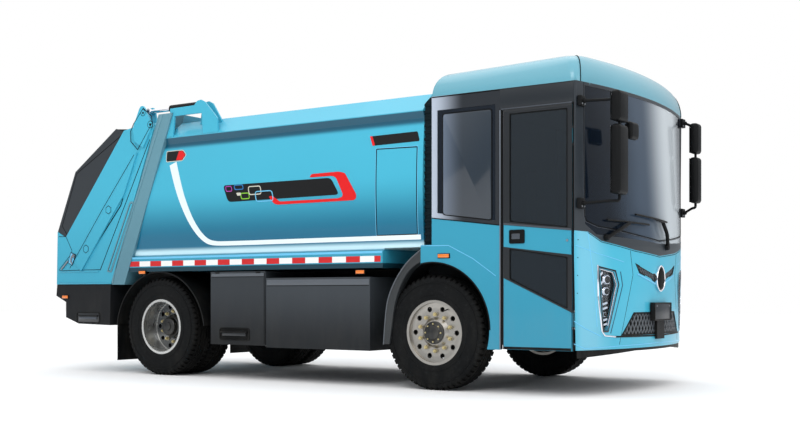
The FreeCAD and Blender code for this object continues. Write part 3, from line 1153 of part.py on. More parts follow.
def gate_sides():
    """The tailgate's side plates with their guides and lift ears, joined by the cross beam."""
    low, cheek, top = "gate_low_z", "pivot_z - cheek_drop", "pivot_z + cheek_rise"
    side = plate("gate_plate", "XZ_Plane", [
        (aft("%s + gate_gap" % ring_rear(low)), low), (aft("%s + gate_gap" % ring_rear(cheek)), cheek),
        (aft("pivot_rear - cheek_front"), top), (aft("pivot_rear + cheek_rear"), top),
        (aft("shoulder_rear"), "shoulder_z + shoulder_rise"), (aft("gate_inner"), "gate_inner_z"),
        (aft("gate_rear - corner_lean"), "gate_corner_z"), (aft("gate_rear"), low)],
        "half_width - gate_wall", "gate_wall")
    guide = plate("gate_guide", "XZ_Plane", [
        (aft("guide_top"), "guide_top_z"), (aft("guide_front"), "guide_front_z"),
        (aft("guide_low"), "guide_low_z"), (aft("guide_rear"), "guide_rear_z")], "half_width", "guide_proud")
    neck = "lift_z + ear_neck_rise"
    tip = [(aft("eye_rear - ear_neck"), neck), (aft("eye_rear - ear_tip_half"), "lift_z + ear_tip"),
           (aft("eye_rear + ear_tip_half"), "lift_z + ear_tip"), (aft("eye_rear + ear_neck_rear"), neck)]
    outer = plate("ear_outer", "XZ_Plane", [
        (aft("pivot_rear - ear_front"), "pivot_z - ear_front_drop"),
        (aft("pivot_rear - ear_front_top"), top)] + tip + [
        (aft("eye_rear + ear_rear"), "pivot_z - ear_rear_drop"),
        (aft("eye_rear + ear_foot"), "pivot_z - ear_foot_drop"),
        (aft("pivot_rear + ear_low"), "pivot_z - ear_low_drop")], "half_width", "ear_thick")
    inner = plate("ear_inner", "XZ_Plane", [
        (aft("beam_front"), "beam_low_z"), (aft("pivot_rear + ear_front"), top)] + tip + [
        (aft("beam_rear + ear_inner_lap"), "beam_high_z"), (aft("beam_rear"), "beam_low_z")],
        "lift_y - eye_half - ear_gap - ear_thick", "ear_thick")
    pin = rod("pivot_pin", "pivot_radius", "half_width + ear_thick - lug_in_y + 2 * cut_spare",
              (aft("pivot_rear"), "-half_width - ear_thick", "pivot_z"), "y")
    boss = rod("pivot_boss", "boss_round", "half_width - lug_in_y - lug_thick - gate_wall - boss_gap",
               (aft("pivot_rear"), "-half_width + gate_wall", "pivot_z"), "y")
    half = fuse("gate_half", [side, guide, outer, inner, pin, boss])
    beam = block("gate_beam", (aft("beam_rear"), "gate_wall - half_width", "beam_low_z"),
                 (aft("beam_front"), "half_width - gate_wall", "beam_high_z"))
    return keep(fuse("gate_sides", [half, mirrored("gate_half_left", half), beam]), "gate_sides")


def gate_covers():
    """The dark upper rear: two side covers and the bent plate over the packer."""
    side = plate("cover_side", "XZ_Plane", [
        (aft("shoulder_rear"), "shoulder_z + shoulder_rise + seat_gap"),
        (aft("cover_top_rear"), "cover_top_z"), (aft("cover_rear"), "cover_rear_z"),
        (aft("gate_rear - corner_lean"), "gate_corner_z + seat_gap"),
        (aft("gate_inner + seat_gap"), "gate_inner_z + seat_gap")],
        "half_width - gate_wall", "gate_wall - cover_inset")
    lap, step = aft("beam_rear + cover_lap"), "beam_high_z + cover_step"
    top = plate("cover_top", "XZ_Plane", [
        (lap, step), (aft("cover_top_rear"), "cover_top_z"), (aft("cover_rear"), "cover_rear_z"),
        (aft("cover_open"), "cover_open_z"), (aft("cover_open - cover_wall"), "cover_open_z"),
        (aft("cover_rear - cover_wall"), "cover_rear_z - cover_lean"),
        (aft("cover_top_rear"), "cover_top_z - cover_wall"), (lap, "%s - cover_wall" % step)],
        "gate_wall - half_width", "2 * (half_width - gate_wall)")
    return keep(fuse("gate_covers", [side, mirrored("cover_side_left", side), top]), "gate_covers")


def gate_trough():
    """The hopper's curved trough with its sill."""
    inside = "half_width - gate_wall"
    rear = aft("gate_rear - sill_inset")
    solid = plate("trough_solid", "XZ_Plane", [
        (aft("%s + gate_gap" % ring_rear("gate_low_z")), "gate_low_z"), (rear, "gate_low_z"),
        (rear, "sill_z"), (aft("%s + gate_gap" % ring_rear("sill_z")), "sill_z")],
        "-(%s)" % inside, "2 * (%s)" % inside)
    drum = rod("trough_drum", "trough_radius", "2 * half_width",
               (aft("blade_pivot"), "-half_width", "blade_pivot_z"), "y")
    flat = block("trough_flat", (aft("blade_pivot"), "-half_width", "floor_flat_z"),
                 (aft("ring_rear_low - floor_flat_rear"), "half_width", "sill_z + cut_spare"))
    return keep(cut("gate_trough", solid, fuse("trough_space", [drum, flat])), "gate_trough")


def gate_boxes():
    """The dark boxes under the hopper's corners."""
    box = plate("tail_box", "XZ_Plane", [
        (aft("tail_box_front - tail_box_lean"), "gate_low_z - seat_gap"),
        (aft("tail_box_front"), "tail_box_front_z"),
        (aft("tail_box_low"), "tail_box_low_z"), (aft("tail_box_step"), "tail_box_corner_z"),
        (aft("tail_box_step"), "tail_box_step_z"), (aft("tail_box_rear"), "tail_box_rear_z"),
        (aft("gate_rear"), "gate_low_z - seat_gap")],
        "half_width - tail_box_inset - tail_box_depth", "tail_box_depth")
    return keep(pair("gate_boxes", box), "gate_boxes")


def tail_lamps():
    lamp = block("tail_lamp", (aft("gate_rear + tail_lamp_thick - sill_inset"), "tail_lamp_y - tail_lamp_half",
                               "tail_lamp_z"),
                 (aft("gate_rear - sill_inset + seat_gap"), "tail_lamp_y + tail_lamp_half",
                  "tail_lamp_z + tail_lamp_height"))
    return keep(pair("tail_lamps", lamp), "tail_lamps")


# Packer: everything lies along the guide's slope

def slope():
    run = number("guide_rear - guide_top")
    rise = number("guide_top_z - guide_rear_z")
    size = math.hypot(run, rise)
    return run / size, rise / size


def along_guide(up, out):
    """A point up the guide from the blade's pivot and out of its plane towards the rear."""
    run, rise = slope()
    return ("%s + (%s) * %.6f - (%s) * %.6f" % (aft("blade_pivot"), up, run, out, rise),
            "blade_pivot_z + (%s) * %.6f + (%s) * %.6f" % (up, rise, out, run))


def packer_plate():
    """The plate that slides along the guides and carries the blade's pin."""
    def strip(name, low, high, half, offset, width):
        return plate(name, "XZ_Plane", [
            along_guide(low, "-(%s)" % half), along_guide(high, "-(%s)" % half),
            along_guide(high, half), along_guide(low, half)], offset, width)

    body = strip("packer_solid", "packer_start", "packer_length", "packer_thick / 2",
                 "-packer_half", "2 * packer_half")
    shoes = []
    for name, low in (("low", "packer_start + shoe_start"), ("high", "packer_length - shoe_end")):
        shoe = strip("shoe_%s" % name, low, "%s + shoe_length" % low, "shoe_half", "packer_half - shoe_lap",
                     "half_width - gate_wall - packer_half + shoe_lap - seat_gap")
        shoes += [shoe, mirrored("shoe_%s_left" % name, shoe)]
    lug = strip("packer_lug", "-packer_lug_low", "packer_start + packer_lug_lap", "packer_lug_half",
                "packer_half - packer_lug_in", "packer_lug_thick")
    pin = rod("blade_pin", "blade_pin", "2 * (packer_half - pin_short)",
              (aft("blade_pivot"), "pin_short - packer_half", "blade_pivot_z"), "y")
    lugs = [lug, mirrored("packer_lug_left", lug)]
    return keep(fuse("packer_plate", [body, pin] + lugs + shoes), "packer_plate")


def packer_blade():
    """The sweeping blade on its barrel."""
    reach = "packer_half - blade_short"
    barrel = rod("blade_barrel", "blade_barrel", "2 * (%s)" % reach,
                 (aft("blade_pivot"), "-(%s)" % reach, "blade_pivot_z"), "y")
    bore = rod("blade_bore", "blade_pin + shaft_gap", "2 * packer_half",
               (aft("blade_pivot"), "-packer_half", "blade_pivot_z"), "y")
    root, tip = "blade_pivot_z - blade_root_drop", "blade_pivot_z - blade_length"
    sheet_metal = plate("blade_sheet", "XZ_Plane", [
        (aft("blade_pivot - blade_root"), root),
        (aft("blade_pivot - blade_belly"), "blade_pivot_z - blade_belly_drop"),
        (aft("blade_pivot + blade_tip"), tip),
        (aft("blade_pivot + blade_tip + blade_thick"), "%s + blade_tip_lean" % tip),
        (aft("blade_pivot - blade_belly + blade_thick"), "blade_pivot_z - blade_belly_drop + shoe_lap"),
        (aft("blade_pivot + blade_heel"), root)], "-(%s)" % reach, "2 * (%s)" % reach)
    return keep(cut("packer_blade", fuse("blade_raw", [barrel, sheet_metal]), bore), "packer_blade")


# Lift cylinders

def lift_barrels():
    """Both barrels with the eyes that turn on the guards' anchor pins."""
    eye = rod("barrel_eye", "eye_radius", "2 * eye_half",
              (aft("anchor_rear"), "-lift_y - eye_half", "lift_z"), "y")
    mouth = "anchor_rear + barrel_reach"
    tube = rod("barrel_tube", "barrel_radius", "barrel_reach - barrel_start",
               (aft(mouth), "-lift_y", "lift_z"), "x")
    bore = rod("barrel_bore", "lift_rod_radius + barrel_play", "barrel_reach - barrel_head + cut_spare",
               (aft("%s + cut_spare" % mouth), "-lift_y", "lift_z"), "x")
    hole = rod("barrel_hole", "lift_pin + shaft_gap", "4 * eye_half",
               (aft("anchor_rear"), "-lift_y - 2 * eye_half", "lift_z"), "y")
    side = cut("barrel_right", fuse("barrel_raw", [eye, tube]), fuse("barrel_tools", [bore, hole]))
    return keep(pair("lift_barrels", side), "lift_barrels")


def lift_rods():
    eye = rod("rod_eye", "eye_radius", "2 * eye_half",
              (aft("eye_rear"), "-lift_y - eye_half", "lift_z"), "y")
    stem = rod("rod_stem", "lift_rod_radius", "eye_rear - anchor_rear - barrel_reach + rod_inside",
               (aft("eye_rear"), "-lift_y", "lift_z"), "x")
    hole = rod("rod_hole", "lift_pin + rod_eye_play", "4 * eye_half",
               (aft("eye_rear"), "-lift_y - 2 * eye_half", "lift_z"), "y")
    return keep(pair("lift_rods", cut("rod_right", fuse("rod_raw", [eye, stem]), hole)), "lift_rods")


# The whole truck

for make in (chassis_frame, leaf_springs, front_axle, knuckles, rear_axle_housing, engine_block,
             front_wheels, rear_wheels, cab_front_panel, front_grilles, headlamps, bumper_trim,
             window_surround, cab_glass, cab_sides, cab_roof, cab_floor, cab_rear_wall, dashboard,
             seats, mirrors, doors, door_hinges, container, ring_frame, roof_guards, side_lockers,
             wing_trims, rear_fenders, gate_sides, gate_covers, gate_trough, gate_boxes, tail_lamps,
             packer_plate, packer_blade, lift_barrels, lift_rods):
    make()
doc.recompute()

for feature in doc.Objects:
    if "Invalid" in feature.State or "Error" in feature.State:
        raise RuntimeError("%s did not rebuild" % feature.Label)
for piece in PARTS:
    if piece.Shape.isNull() or not piece.Shape.isValid() or not piece.Shape.Solids:
        raise RuntimeError("%s has no valid solid" % piece.Label)

os.makedirs("parts", exist_ok=True)
for piece in PARTS:
    piece.Shape.exportStep("parts/%s.step" % piece.Label)
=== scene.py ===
"""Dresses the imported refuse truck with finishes, small pieces, a studio and its camera."""

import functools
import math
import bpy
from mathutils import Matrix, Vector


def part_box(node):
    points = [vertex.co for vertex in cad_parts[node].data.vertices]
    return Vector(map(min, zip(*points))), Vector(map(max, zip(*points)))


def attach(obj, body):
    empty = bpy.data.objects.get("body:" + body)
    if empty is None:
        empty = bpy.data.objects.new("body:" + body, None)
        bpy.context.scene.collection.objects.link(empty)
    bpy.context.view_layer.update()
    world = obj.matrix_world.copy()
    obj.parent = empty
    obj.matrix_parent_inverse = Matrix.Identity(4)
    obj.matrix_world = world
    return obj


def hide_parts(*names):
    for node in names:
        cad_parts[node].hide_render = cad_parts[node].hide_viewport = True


bl_info = {
    "name": "Refuse Truck Dressing",
    "version": (1, 0, 0),
    "blender": (4, 5, 0),
    "location": "View3D > Sidebar > Truck",
    "description": "Finishes, small fittings and studio for a rear-loading refuse truck",
    "category": "Object",
}

import bmesh
import bpy
from mathutils import Matrix, Vector

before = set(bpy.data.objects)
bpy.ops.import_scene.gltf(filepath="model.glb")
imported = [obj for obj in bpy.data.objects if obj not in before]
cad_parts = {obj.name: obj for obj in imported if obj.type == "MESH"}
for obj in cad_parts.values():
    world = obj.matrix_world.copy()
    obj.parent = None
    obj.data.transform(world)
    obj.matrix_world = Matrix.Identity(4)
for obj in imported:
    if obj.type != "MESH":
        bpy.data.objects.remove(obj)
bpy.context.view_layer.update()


def middle(node):
    """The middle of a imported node's box."""
    low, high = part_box(node)
    return (Vector(low) + Vector(high)) / 2


FRONT_AXLE = middle("front_rim_right").x
REAR_AXLE = middle("rear_rims_right").x
WHEELBASE = (FRONT_AXLE - REAR_AXLE) * 1000
TYRE_RADIUS = middle("front_tyre_right").z * 1000
# The cab front's arcs across and its heights
BOW_RADIUS = 3091
ROOF_BOW_RADIUS = 4963
BOW_REACH = 1680
BEND_HEIGHT = 1300
SEAM_HEIGHT = 2670
LIP_HEIGHT = 330
SCREEN_LEAN = 90
PANEL_TUCK = 16
# The step and axis at which parts are cut so that they follow the cab front or the container's side
FRONT_STEP, SIDE_STEP = (120, 1), (90, 2)
# Vertices closer than this, in metres, become one
LATHE_GAP, RIBBON_GAP = 0.00002, 0.0002
MATERIALS = {}


# Places and shapes. Sizes are in millimetres; x is measured forward of the front axle.

def at(x, y, z):
    """A place in the frame's metres."""
    return Vector((FRONT_AXLE + x / 1000, y / 1000, z / 1000))


def bow_x(y, reach, radius):
    """The x of an arc across the cab that has its reach at the middle."""
    return reach - radius + math.sqrt(radius ** 2 - min(abs(y), radius) ** 2)


def front_x(y, z):
    """The cab front's x at a place across and a height."""
    low = bow_x(y, BOW_REACH, BOW_RADIUS)
    if z < BEND_HEIGHT:
        return low - PANEL_TUCK * (BEND_HEIGHT - z) / (BEND_HEIGHT - LIP_HEIGHT)
    share = (z - BEND_HEIGHT) / (SEAM_HEIGHT - BEND_HEIGHT)
    return low + (bow_x(y, BOW_REACH - SCREEN_LEAN, ROOF_BOW_RADIUS) - low) * share


def absorb(target, part, matrix=None):
    """Moves a part's mesh into the target."""
    if matrix is not None:
        bmesh.ops.transform(part, matrix=matrix, verts=part.verts)
    scratch = bpy.data.meshes.new("scratch")
    part.to_mesh(scratch)
    part.free()
    target.from_mesh(scratch)
    bpy.data.meshes.remove(scratch)


def paint_faces(part, index):
    """Gives all faces one of the piece's finishes."""
    for face in part.faces:
        face.material_index = index


def soften(part, width, segments=2, angle=30):
    """Bevels the edges sharper than an angle."""
    edges = [edge for edge in part.edges
             if len(edge.link_faces) == 2 and edge.calc_face_angle(0) > math.radians(angle)]
    if width and edges:
        bmesh.ops.bevel(part, geom=edges, offset=width / 1000, offset_type="OFFSET", segments=segments,
                        profile=0.5, affect="EDGES", clamp_overlap=True, material=-1)


def slab(target, low, high, soft=3, index=0, segments=2):
    """A box between two corners with rounded edges."""
    first, last = at(*low), at(*high)
    part = bmesh.new()
    bmesh.ops.create_cube(part, size=1)
    bmesh.ops.scale(part, vec=[abs(b - a) for a, b in zip(first, last)], verts=part.verts)
    bmesh.ops.translate(part, vec=(first + last) / 2, verts=part.verts)
    finish_form(target, part, soft, index, segments)


# How (a, b, depth) lies in the frame on each plane
PLANES = {
    "side": lambda a, b, depth: at(a, depth, b),
    "front": lambda a, b, depth: at(depth, a, b),
}


def pull(part, faces, way):
    """Extrudes faces along a way and turns the normals outward."""
    made = bmesh.ops.extrude_face_region(part, geom=faces)
    moved = [item for item in made["geom"] if isinstance(item, bmesh.types.BMVert)]
    bmesh.ops.translate(part, vec=way, verts=moved)
    bmesh.ops.recalc_face_normals(part, faces=part.faces)


def close_rows(part, low, high):
    """Faces between two closed rows of vertices."""
    for number, (first, second) in enumerate(zip(low, high)):
        after = (number + 1) % len(low)
        part.faces.new([first, low[after], high[after], second])


def finish_form(target, part, soft, index, segments=2, slices=None):
    """Softens, slices and paints a form and adds it to the target."""
    soften(part, soft, segments)
    if slices:
        slice_across(part, *slices)
    paint_faces(part, index)
    absorb(target, part)


def prism(target, plane, points, start, end, soft=2, index=0, slices=None):
    """An outline on a plane extruded from one depth to another."""
    part = bmesh.new()
    place = PLANES[plane]
    face = part.faces.new([part.verts.new(place(a, b, start)) for a, b in points])
    pull(part, [face], place(0, 0, end) - place(0, 0, start))
    finish_form(target, part, soft, index, 2, slices)


def frame_ring(target, plane, outer, inner, start, end, soft=1, index=0, slices=None):
    """A flat frame between two outlines with as many corners, given a depth."""
    part = bmesh.new()
    place = PLANES[plane]
    rims = [[part.verts.new(place(a, b, start)) for a, b in points] for points in (outer, inner)]
    close_rows(part, *rims)
    pull(part, part.faces[:], place(0, 0, end) - place(0, 0, start))
    finish_form(target, part, soft, index, 1, slices)


def slice_across(part, step, axis):
    """Cuts a part by parallel planes so that it can bend."""
    values = [vert.co[axis] for vert in part.verts]
    normal = [0, 0, 0]
    normal[axis] = 1
    count = int((max(values) - min(values)) * 1000 / step)
    for cut in range(1, count + 1):
        spot = [0, 0, 0]
        spot[axis] = min(values) + cut * step / 1000
        bmesh.ops.bisect_plane(part, geom=part.verts[:] + part.edges[:] + part.faces[:],
                               plane_co=spot, plane_no=normal)


def bar(target, start, end, radius, sides=16, index=0, soft=0, tip=None):
    """A round bar between two places; tip is its other end's radius."""
    first, last = at(*start), at(*end)
    part = bmesh.new()
    tip = radius if tip is None else tip
    bmesh.ops.create_cone(part, cap_ends=True, segments=sides, radius1=radius / 1000, radius2=tip / 1000,
                          depth=(last - first).length)
    soften(part, soft, 2, 50)
    paint_faces(part, index)
    turn = Vector((0, 0, 1)).rotation_difference(last - first).to_matrix().to_4x4()
    absorb(target, part, Matrix.Translation((first + last) / 2) @ turn)


def ball(target, place, radius, index, squeeze):
    """A sphere, squeezed along the axes."""
    part = bmesh.new()
    bmesh.ops.create_uvsphere(part, u_segments=20, v_segments=12, radius=radius / 1000)
    bmesh.ops.scale(part, vec=squeeze, verts=part.verts)
    paint_faces(part, index)
    absorb(target, part, Matrix.Translation(at(*place)))


def bend(start, corner, end, steps):
    """Places on the curve from start to end that leans towards the corner."""
    shares = [step / steps for step in range(steps + 1)]
    return [start * (1 - t) ** 2 + corner * 2 * t * (1 - t) + end * t ** 2 for t in shares]


def rounding(before, corner, after, radius, steps):
    """The curve that rounds a corner between its neighbours."""
    reach = min(radius, (before - corner).length * 0.45, (after - corner).length * 0.45)
    start = corner + (before - corner).normalized() * reach
    end = corner + (after - corner).normalized() * reach
    return bend(start, corner, end, steps)


def pipe(target, points, radius, index=0, turn=30, sides=10):
    """A tube through the points with rounded corners."""
    spots = [at(*point) for point in points]
    path = [spots[0]]
    for before, corner, after in zip(spots, spots[1:], spots[2:]):
        path += rounding(before, corner, after, turn / 1000, 4)
    path.append(spots[-1])
    line = bpy.data.curves.new("tube_line", "CURVE")
    line.dimensions = "3D"
    spline = line.splines.new("POLY")
    spline.points.add(len(path) - 1)
    for point, place in zip(spline.points, path):
        point.co = (*place, 1)
    line.bevel_depth = radius / 1000
    line.bevel_resolution = max(sides // 4 - 1, 1)
    line.use_fill_caps = True
    holder = bpy.data.objects.new("tube_holder", line)
    made = bpy.data.meshes.new_from_object(holder)
    part = bmesh.new()
    part.from_mesh(made)
    paint_faces(part, index)
    absorb(target, part)
    bpy.data.objects.remove(holder)
    bpy.data.curves.remove(line)
    bpy.data.meshes.remove(made)


def lathe(target, profile, centre, steps, index=0):
    """A profile of (radius, place along the axle) turned about the cross axis."""
    part = bmesh.new()
    hub = at(*centre)
    verts = [part.verts.new(hub + Vector((0, along / 1000, radius / 1000))) for radius, along in profile]
    edges = [part.edges.new(pair) for pair in zip(verts, verts[1:])]
    bmesh.ops.spin(part, geom=verts + edges, cent=hub, axis=(0, 1, 0), angle=math.radians(360),
                   steps=steps, use_merge=True, dvec=(0, 0, 0))
    bmesh.ops.remove_doubles(part, verts=part.verts, dist=LATHE_GAP)
    bmesh.ops.recalc_face_normals(part, faces=part.faces)
    paint_faces(part, index)
    absorb(target, part)


def wrap_front(part):
    """Lays a part built from depth 0 onto the cab's curved front."""
    for vert in part.verts:
        vert.co.x += front_x(vert.co.y * 1000, vert.co.z * 1000) / 1000


def flip(part):
    """Mirrors a part across the truck's middle plane."""
    bmesh.ops.transform(part, matrix=Matrix.Scale(-1, 4, (0, 1, 0)), verts=part.verts)
    bmesh.ops.reverse_faces(part, faces=part.faces)


def other_side(part):
    """Adds the mirror image on the truck's left."""
    copy = part.copy()
    flip(copy)
    absorb(part, copy)


def arc(x, z, radius, first, last, count):
    """Points on a circle between two angles in degrees."""
    turns = [math.radians(first + (last - first) * step / (count - 1)) for step in range(count)]
    return [(x + radius * math.cos(turn), z + radius * math.sin(turn)) for turn in turns]


def rounded(points, radius, steps=4):
    """The outline with its corners rounded."""
    corners = [Vector(point) for point in points]
    made = []
    for before, corner, after in zip(corners[-1:] + corners, corners, corners[1:] + corners[:1]):
        made += [tuple(spot) for spot in rounding(before, corner, after, radius, steps)]
    return made


def rectangle(low, high):
    """The corners of an upright rectangle between two (along, up) places."""
    return [low, (high[0], low[1]), high, (low[0], high[1])]


def beam(start, end, width, lap):
    """The outline of a straight bar, lengthened at both ends by a share of its width."""
    along = (Vector(end) - Vector(start)).normalized()
    side = Vector((-along.y, along.x)) * width / 2
    over = along * width * lap
    return [tuple(spot) for spot in (Vector(start) - over + side, Vector(end) + over + side,
                                     Vector(end) + over - side, Vector(start) - over - side)]


def piece(name, part, finishes, body="chassis", sharp=35, both=False, replaces=()):
    """Turns a mesh into a finished object that rides on a body."""
    if both:
        other_side(part)
    mesh = bpy.data.meshes.new(name)
    part.to_mesh(mesh)
    part.free()
    for finish_name in ([finishes] if isinstance(finishes, str) else finishes):
        mesh.materials.append(MATERIALS[finish_name])
    mesh.polygons.foreach_set("use_smooth", [True] * len(mesh.polygons))
    mesh.set_sharp_from_angle(angle=math.radians(sharp))
    made = bpy.data.objects.new(name, mesh)
    bpy.context.scene.collection.objects.link(made)
    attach(made, body)
    if replaces:
        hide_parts(*replaces)


# Finishes

class Tree:
    """A node tree with short ways to add and join its nodes."""

    def __init__(self, tree):
        self.tree = tree
        self.nodes = tree.nodes

    def add(self, kind, inputs=None, **values):
        """A new node with its settings and inputs."""
        node = self.nodes.new(kind)
        for name, value in values.items():
            setattr(node, name, value)
        for name, value in (inputs or {}).items():
            self.feed(node.inputs[name], value)
        return node

    def feed(self, socket, value):
        """Links a socket or sets its constant."""
        if isinstance(value, bpy.types.NodeSocket):
            self.tree.links.new(value, socket)
        else:
            socket.default_value = value

    def math(self, operation, first, second=0.0, clamp=False):
        node = self.add("ShaderNodeMath", operation=operation, use_clamp=clamp)
        self.feed(node.inputs[0], first)
        self.feed(node.inputs[1], second)
        return node.outputs[0]

    def mix(self, factor, first, second, blend="MIX"):
        node = self.add("ShaderNodeMix", data_type="RGBA", blend_type=blend)
        for index, value in ((0, factor), (6, first), (7, second)):
            self.feed(node.inputs[index], value)
        return node.outputs[2]

    def ramp(self, value, low, high, start=0.0, end=1.0):
        """A smooth step from start to end as the value goes from low to high."""
        node = self.add("ShaderNodeMapRange", {"From Min": low, "From Max": high,
                                               "To Min": start, "To Max": end})
        node.interpolation_type = "SMOOTHSTEP"
        self.feed(node.inputs["Value"], value)
        return node.outputs[0]

    def axis(self, place, name):
        return self.add("ShaderNodeSeparateXYZ", {"Vector": place}).outputs[name]

    def noise(self, place, scale, detail=2.0, roughness=0.5):
        node = self.add("ShaderNodeTexNoise", {"Scale": scale, "Detail": detail, "Roughness": roughness})
        self.feed(node.inputs["Vector"], place)
        return node.outputs["Fac"]


def linear(color):
    """A display colour as the linear one that a shader takes."""
    return tuple(c / 12.92 if c <= 0.04045 else ((c + 0.055) / 1.055) ** 2.4 for c in color) + (1.0,)


def node_group(name, inputs, outputs, build):
    """A shader group with named sockets, filled by its build function."""
    tree = bpy.data.node_groups.new(name, "ShaderNodeTree")
    for label, kind, default in inputs:
        socket = tree.interface.new_socket(name=label, in_out="INPUT", socket_type=kind)
        if default is not None:
            socket.default_value = default
    for label, kind in outputs:
        tree.interface.new_socket(name=label, in_out="OUTPUT", socket_type=kind)
    made = Tree(tree)
    build(made, made.add("NodeGroupInput").outputs, made.add("NodeGroupOutput").inputs)
    return tree


def build_film(t, given, out):
    """Dust that gathers low on the truck and in faint runs."""
    low = t.ramp(t.axis(given["Place"], "Z"), 1.3, 0.1)
    stretch = t.add("ShaderNodeMapping", {"Vector": given["Place"], "Scale": (3.0, 3.0, 0.8)}).outputs[0]
    cloud = t.ramp(t.noise(stretch, 2.4, 5.0, 0.62), 0.38, 0.72)
    speck = t.ramp(t.noise(given["Place"], 160.0, 2.0), 0.5, 0.75)
    film = t.math("MULTIPLY", t.math("ADD", t.math("MULTIPLY", low, cloud), t.math("MULTIPLY", speck, 0.12)),
                  given["Amount"], clamp=True)
    t.feed(out["Color"], t.mix(film, given["Color"], given["Dust"]))
    t.feed(out["Roughness"], t.math("ADD", given["Roughness"], t.math("MULTIPLY", film, 0.35), clamp=True))


def build_variation(t, given, out):
    """Slow changes of tone across a painted or moulded surface."""
    slow = t.noise(given["Place"], given["Scale"], 3.0)
    tone = t.math("MULTIPLY", t.math("SUBTRACT", slow, 0.5), given["Amount"])
    change = t.math("ADD", tone, 1.0)
    factor = t.add("ShaderNodeCombineColor", {"Red": change, "Green": change, "Blue": change}).outputs[0]
    t.feed(out["Color"], t.mix(1.0, given["Color"], factor, "MULTIPLY"))
    t.feed(out["Roughness"], t.math("ADD", given["Roughness"], t.math("MULTIPLY", tone, 0.6), clamp=True))


def build_wear(t, given, out):
    """A mask of exposed edges, broken up by noise."""
    bevelled = t.add("ShaderNodeBevel", {"Radius": given["Width"]}, samples=BEVEL_SAMPLES).outputs[0]
    true = t.add("ShaderNodeNewGeometry").outputs["True Normal"]
    dot = t.add("ShaderNodeVectorMath", operation="DOT_PRODUCT")
    t.feed(dot.inputs[0], bevelled)
    t.feed(dot.inputs[1], true)
    edge = t.ramp(dot.outputs["Value"], 0.985, 0.86)
    broken = t.ramp(t.noise(given["Place"], 46.0, 4.0, 0.7), 0.42, 0.62)
    t.feed(out["Mask"], t.math("MULTIPLY", edge, t.math("MULTIPLY", broken, given["Amount"]), clamp=True))


def shared_groups():
    """The groups that the finishes share."""
    color, value, vector = "NodeSocketColor", "NodeSocketFloat", "NodeSocketVector"
    grey = (0.5, 0.5, 0.5, 1.0)
    both = [("Color", color), ("Roughness", value)]
    given = [("Place", vector, None), ("Color", color, grey), ("Roughness", value, 0.4)]
    film = given + [("Dust", color, grey), ("Amount", value, 0.3)]
    variation = given + [("Scale", value, 1.0), ("Amount", value, 0.1)]
    wear = [given[0], ("Width", value, 0.004), ("Amount", value, 0.5)]
    return {
        "film": node_group("Road Film", film, both, build_film),
        "variation": node_group("Tone Variation", variation, both, build_variation),
        "wear": node_group("Edge Wear", wear, [("Mask", value)], build_wear),
    }


DUST = linear((0.56, 0.54, 0.50))
WEAR_REACH = 1.6
COAT_ROUGHNESS = 0.05
BUMP_HEIGHT = 0.002
BEVEL_SAMPLES = 4


def finish(groups, name, color, roughness=0.4, metallic=0.0, coat=0.0, tone=0.08, tone_scale=1.2, film=0.2,
           grain=(0.0, 0.0), wear=0.0, wear_color=(0.55, 0.56, 0.58), edge=0.004, pattern=None, **sockets):
    """A surface with slow tone changes, dust, worn edges, fine grain and rounded edges."""
    material = bpy.data.materials.new(name)
    material.use_nodes = True
    t = Tree(material.node_tree)
    t.nodes.clear()
    place = t.add("ShaderNodeTexCoord").outputs["Object"] if tone or film or pattern else None
    base, rough, height, normal = linear(tuple(color)), roughness, None, None

    def shared(group, outputs, **values):
        node = t.add("ShaderNodeGroup", node_tree=groups[group])
        for label, value in values.items():
            t.feed(node.inputs[label], value)
        return [node.outputs[output] for output in outputs]

    both = ("Color", "Roughness")
    if pattern:
        base, rough, height = pattern(t, place, base, rough)
    if tone:
        base, rough = shared("variation", both, Place=place, Color=base, Roughness=rough, Scale=tone_scale,
                             Amount=tone)
    if wear:
        worn = shared("wear", ("Mask",), Place=place, Width=edge * WEAR_REACH, Amount=wear)[0]
        base = t.mix(worn, base, linear(wear_color))
    if film:
        base, rough = shared("film", both, Place=place, Color=base, Roughness=rough, Dust=DUST, Amount=film)
    surface = t.add("ShaderNodeBsdfPrincipled", {"Base Color": base, "Roughness": rough, "Metallic": metallic,
                                                 "Coat Weight": coat, **sockets})
    if coat:
        surface.inputs["Coat Roughness"].default_value = COAT_ROUGHNESS
    if edge:
        normal = t.add("ShaderNodeBevel", {"Radius": edge}, samples=BEVEL_SAMPLES).outputs[0]
    if grain[0]:
        fine = t.noise(place, grain[0], 3.0)
        height = t.math("ADD", height, t.math("MULTIPLY", fine, 0.4)) if height is not None else fine
    if height is not None:
        bump = t.add("ShaderNodeBump", {"Strength": grain[1] or 0.3, "Distance": BUMP_HEIGHT,
                                        "Height": height})
        if normal is not None:
            t.feed(bump.inputs["Normal"], normal)
        normal = bump.outputs[0]
    if normal is not None:
        t.feed(surface.inputs["Normal"], normal)
    t.feed(t.add("ShaderNodeOutputMaterial").inputs["Surface"], surface.outputs[0])
    MATERIALS[name] = material


def shade(t, base, factor, deep=(0.06, 0.31, 0.39)):
    """A colour taken towards a deeper one as the factor falls from 1 to 0."""
    return t.mix(1.0, base, t.mix(factor, (*deep, 1), (1, 1, 1, 1)), "MULTIPLY")


CAB_CORNER = FRONT_AXLE + 1.40
# Heights in metres at which the container's painted shade and painted highlight change
RAIL_FOOT, RAIL_TOP, GLEAM_TOP = 1.166, 1.284, 1.385
SHADE_FOOT, SHADE_TOP = 1.44, 2.02
FOLD_SHADE, FOLD_SHADE_TOP, FOLD = 2.42, 2.48, 2.553


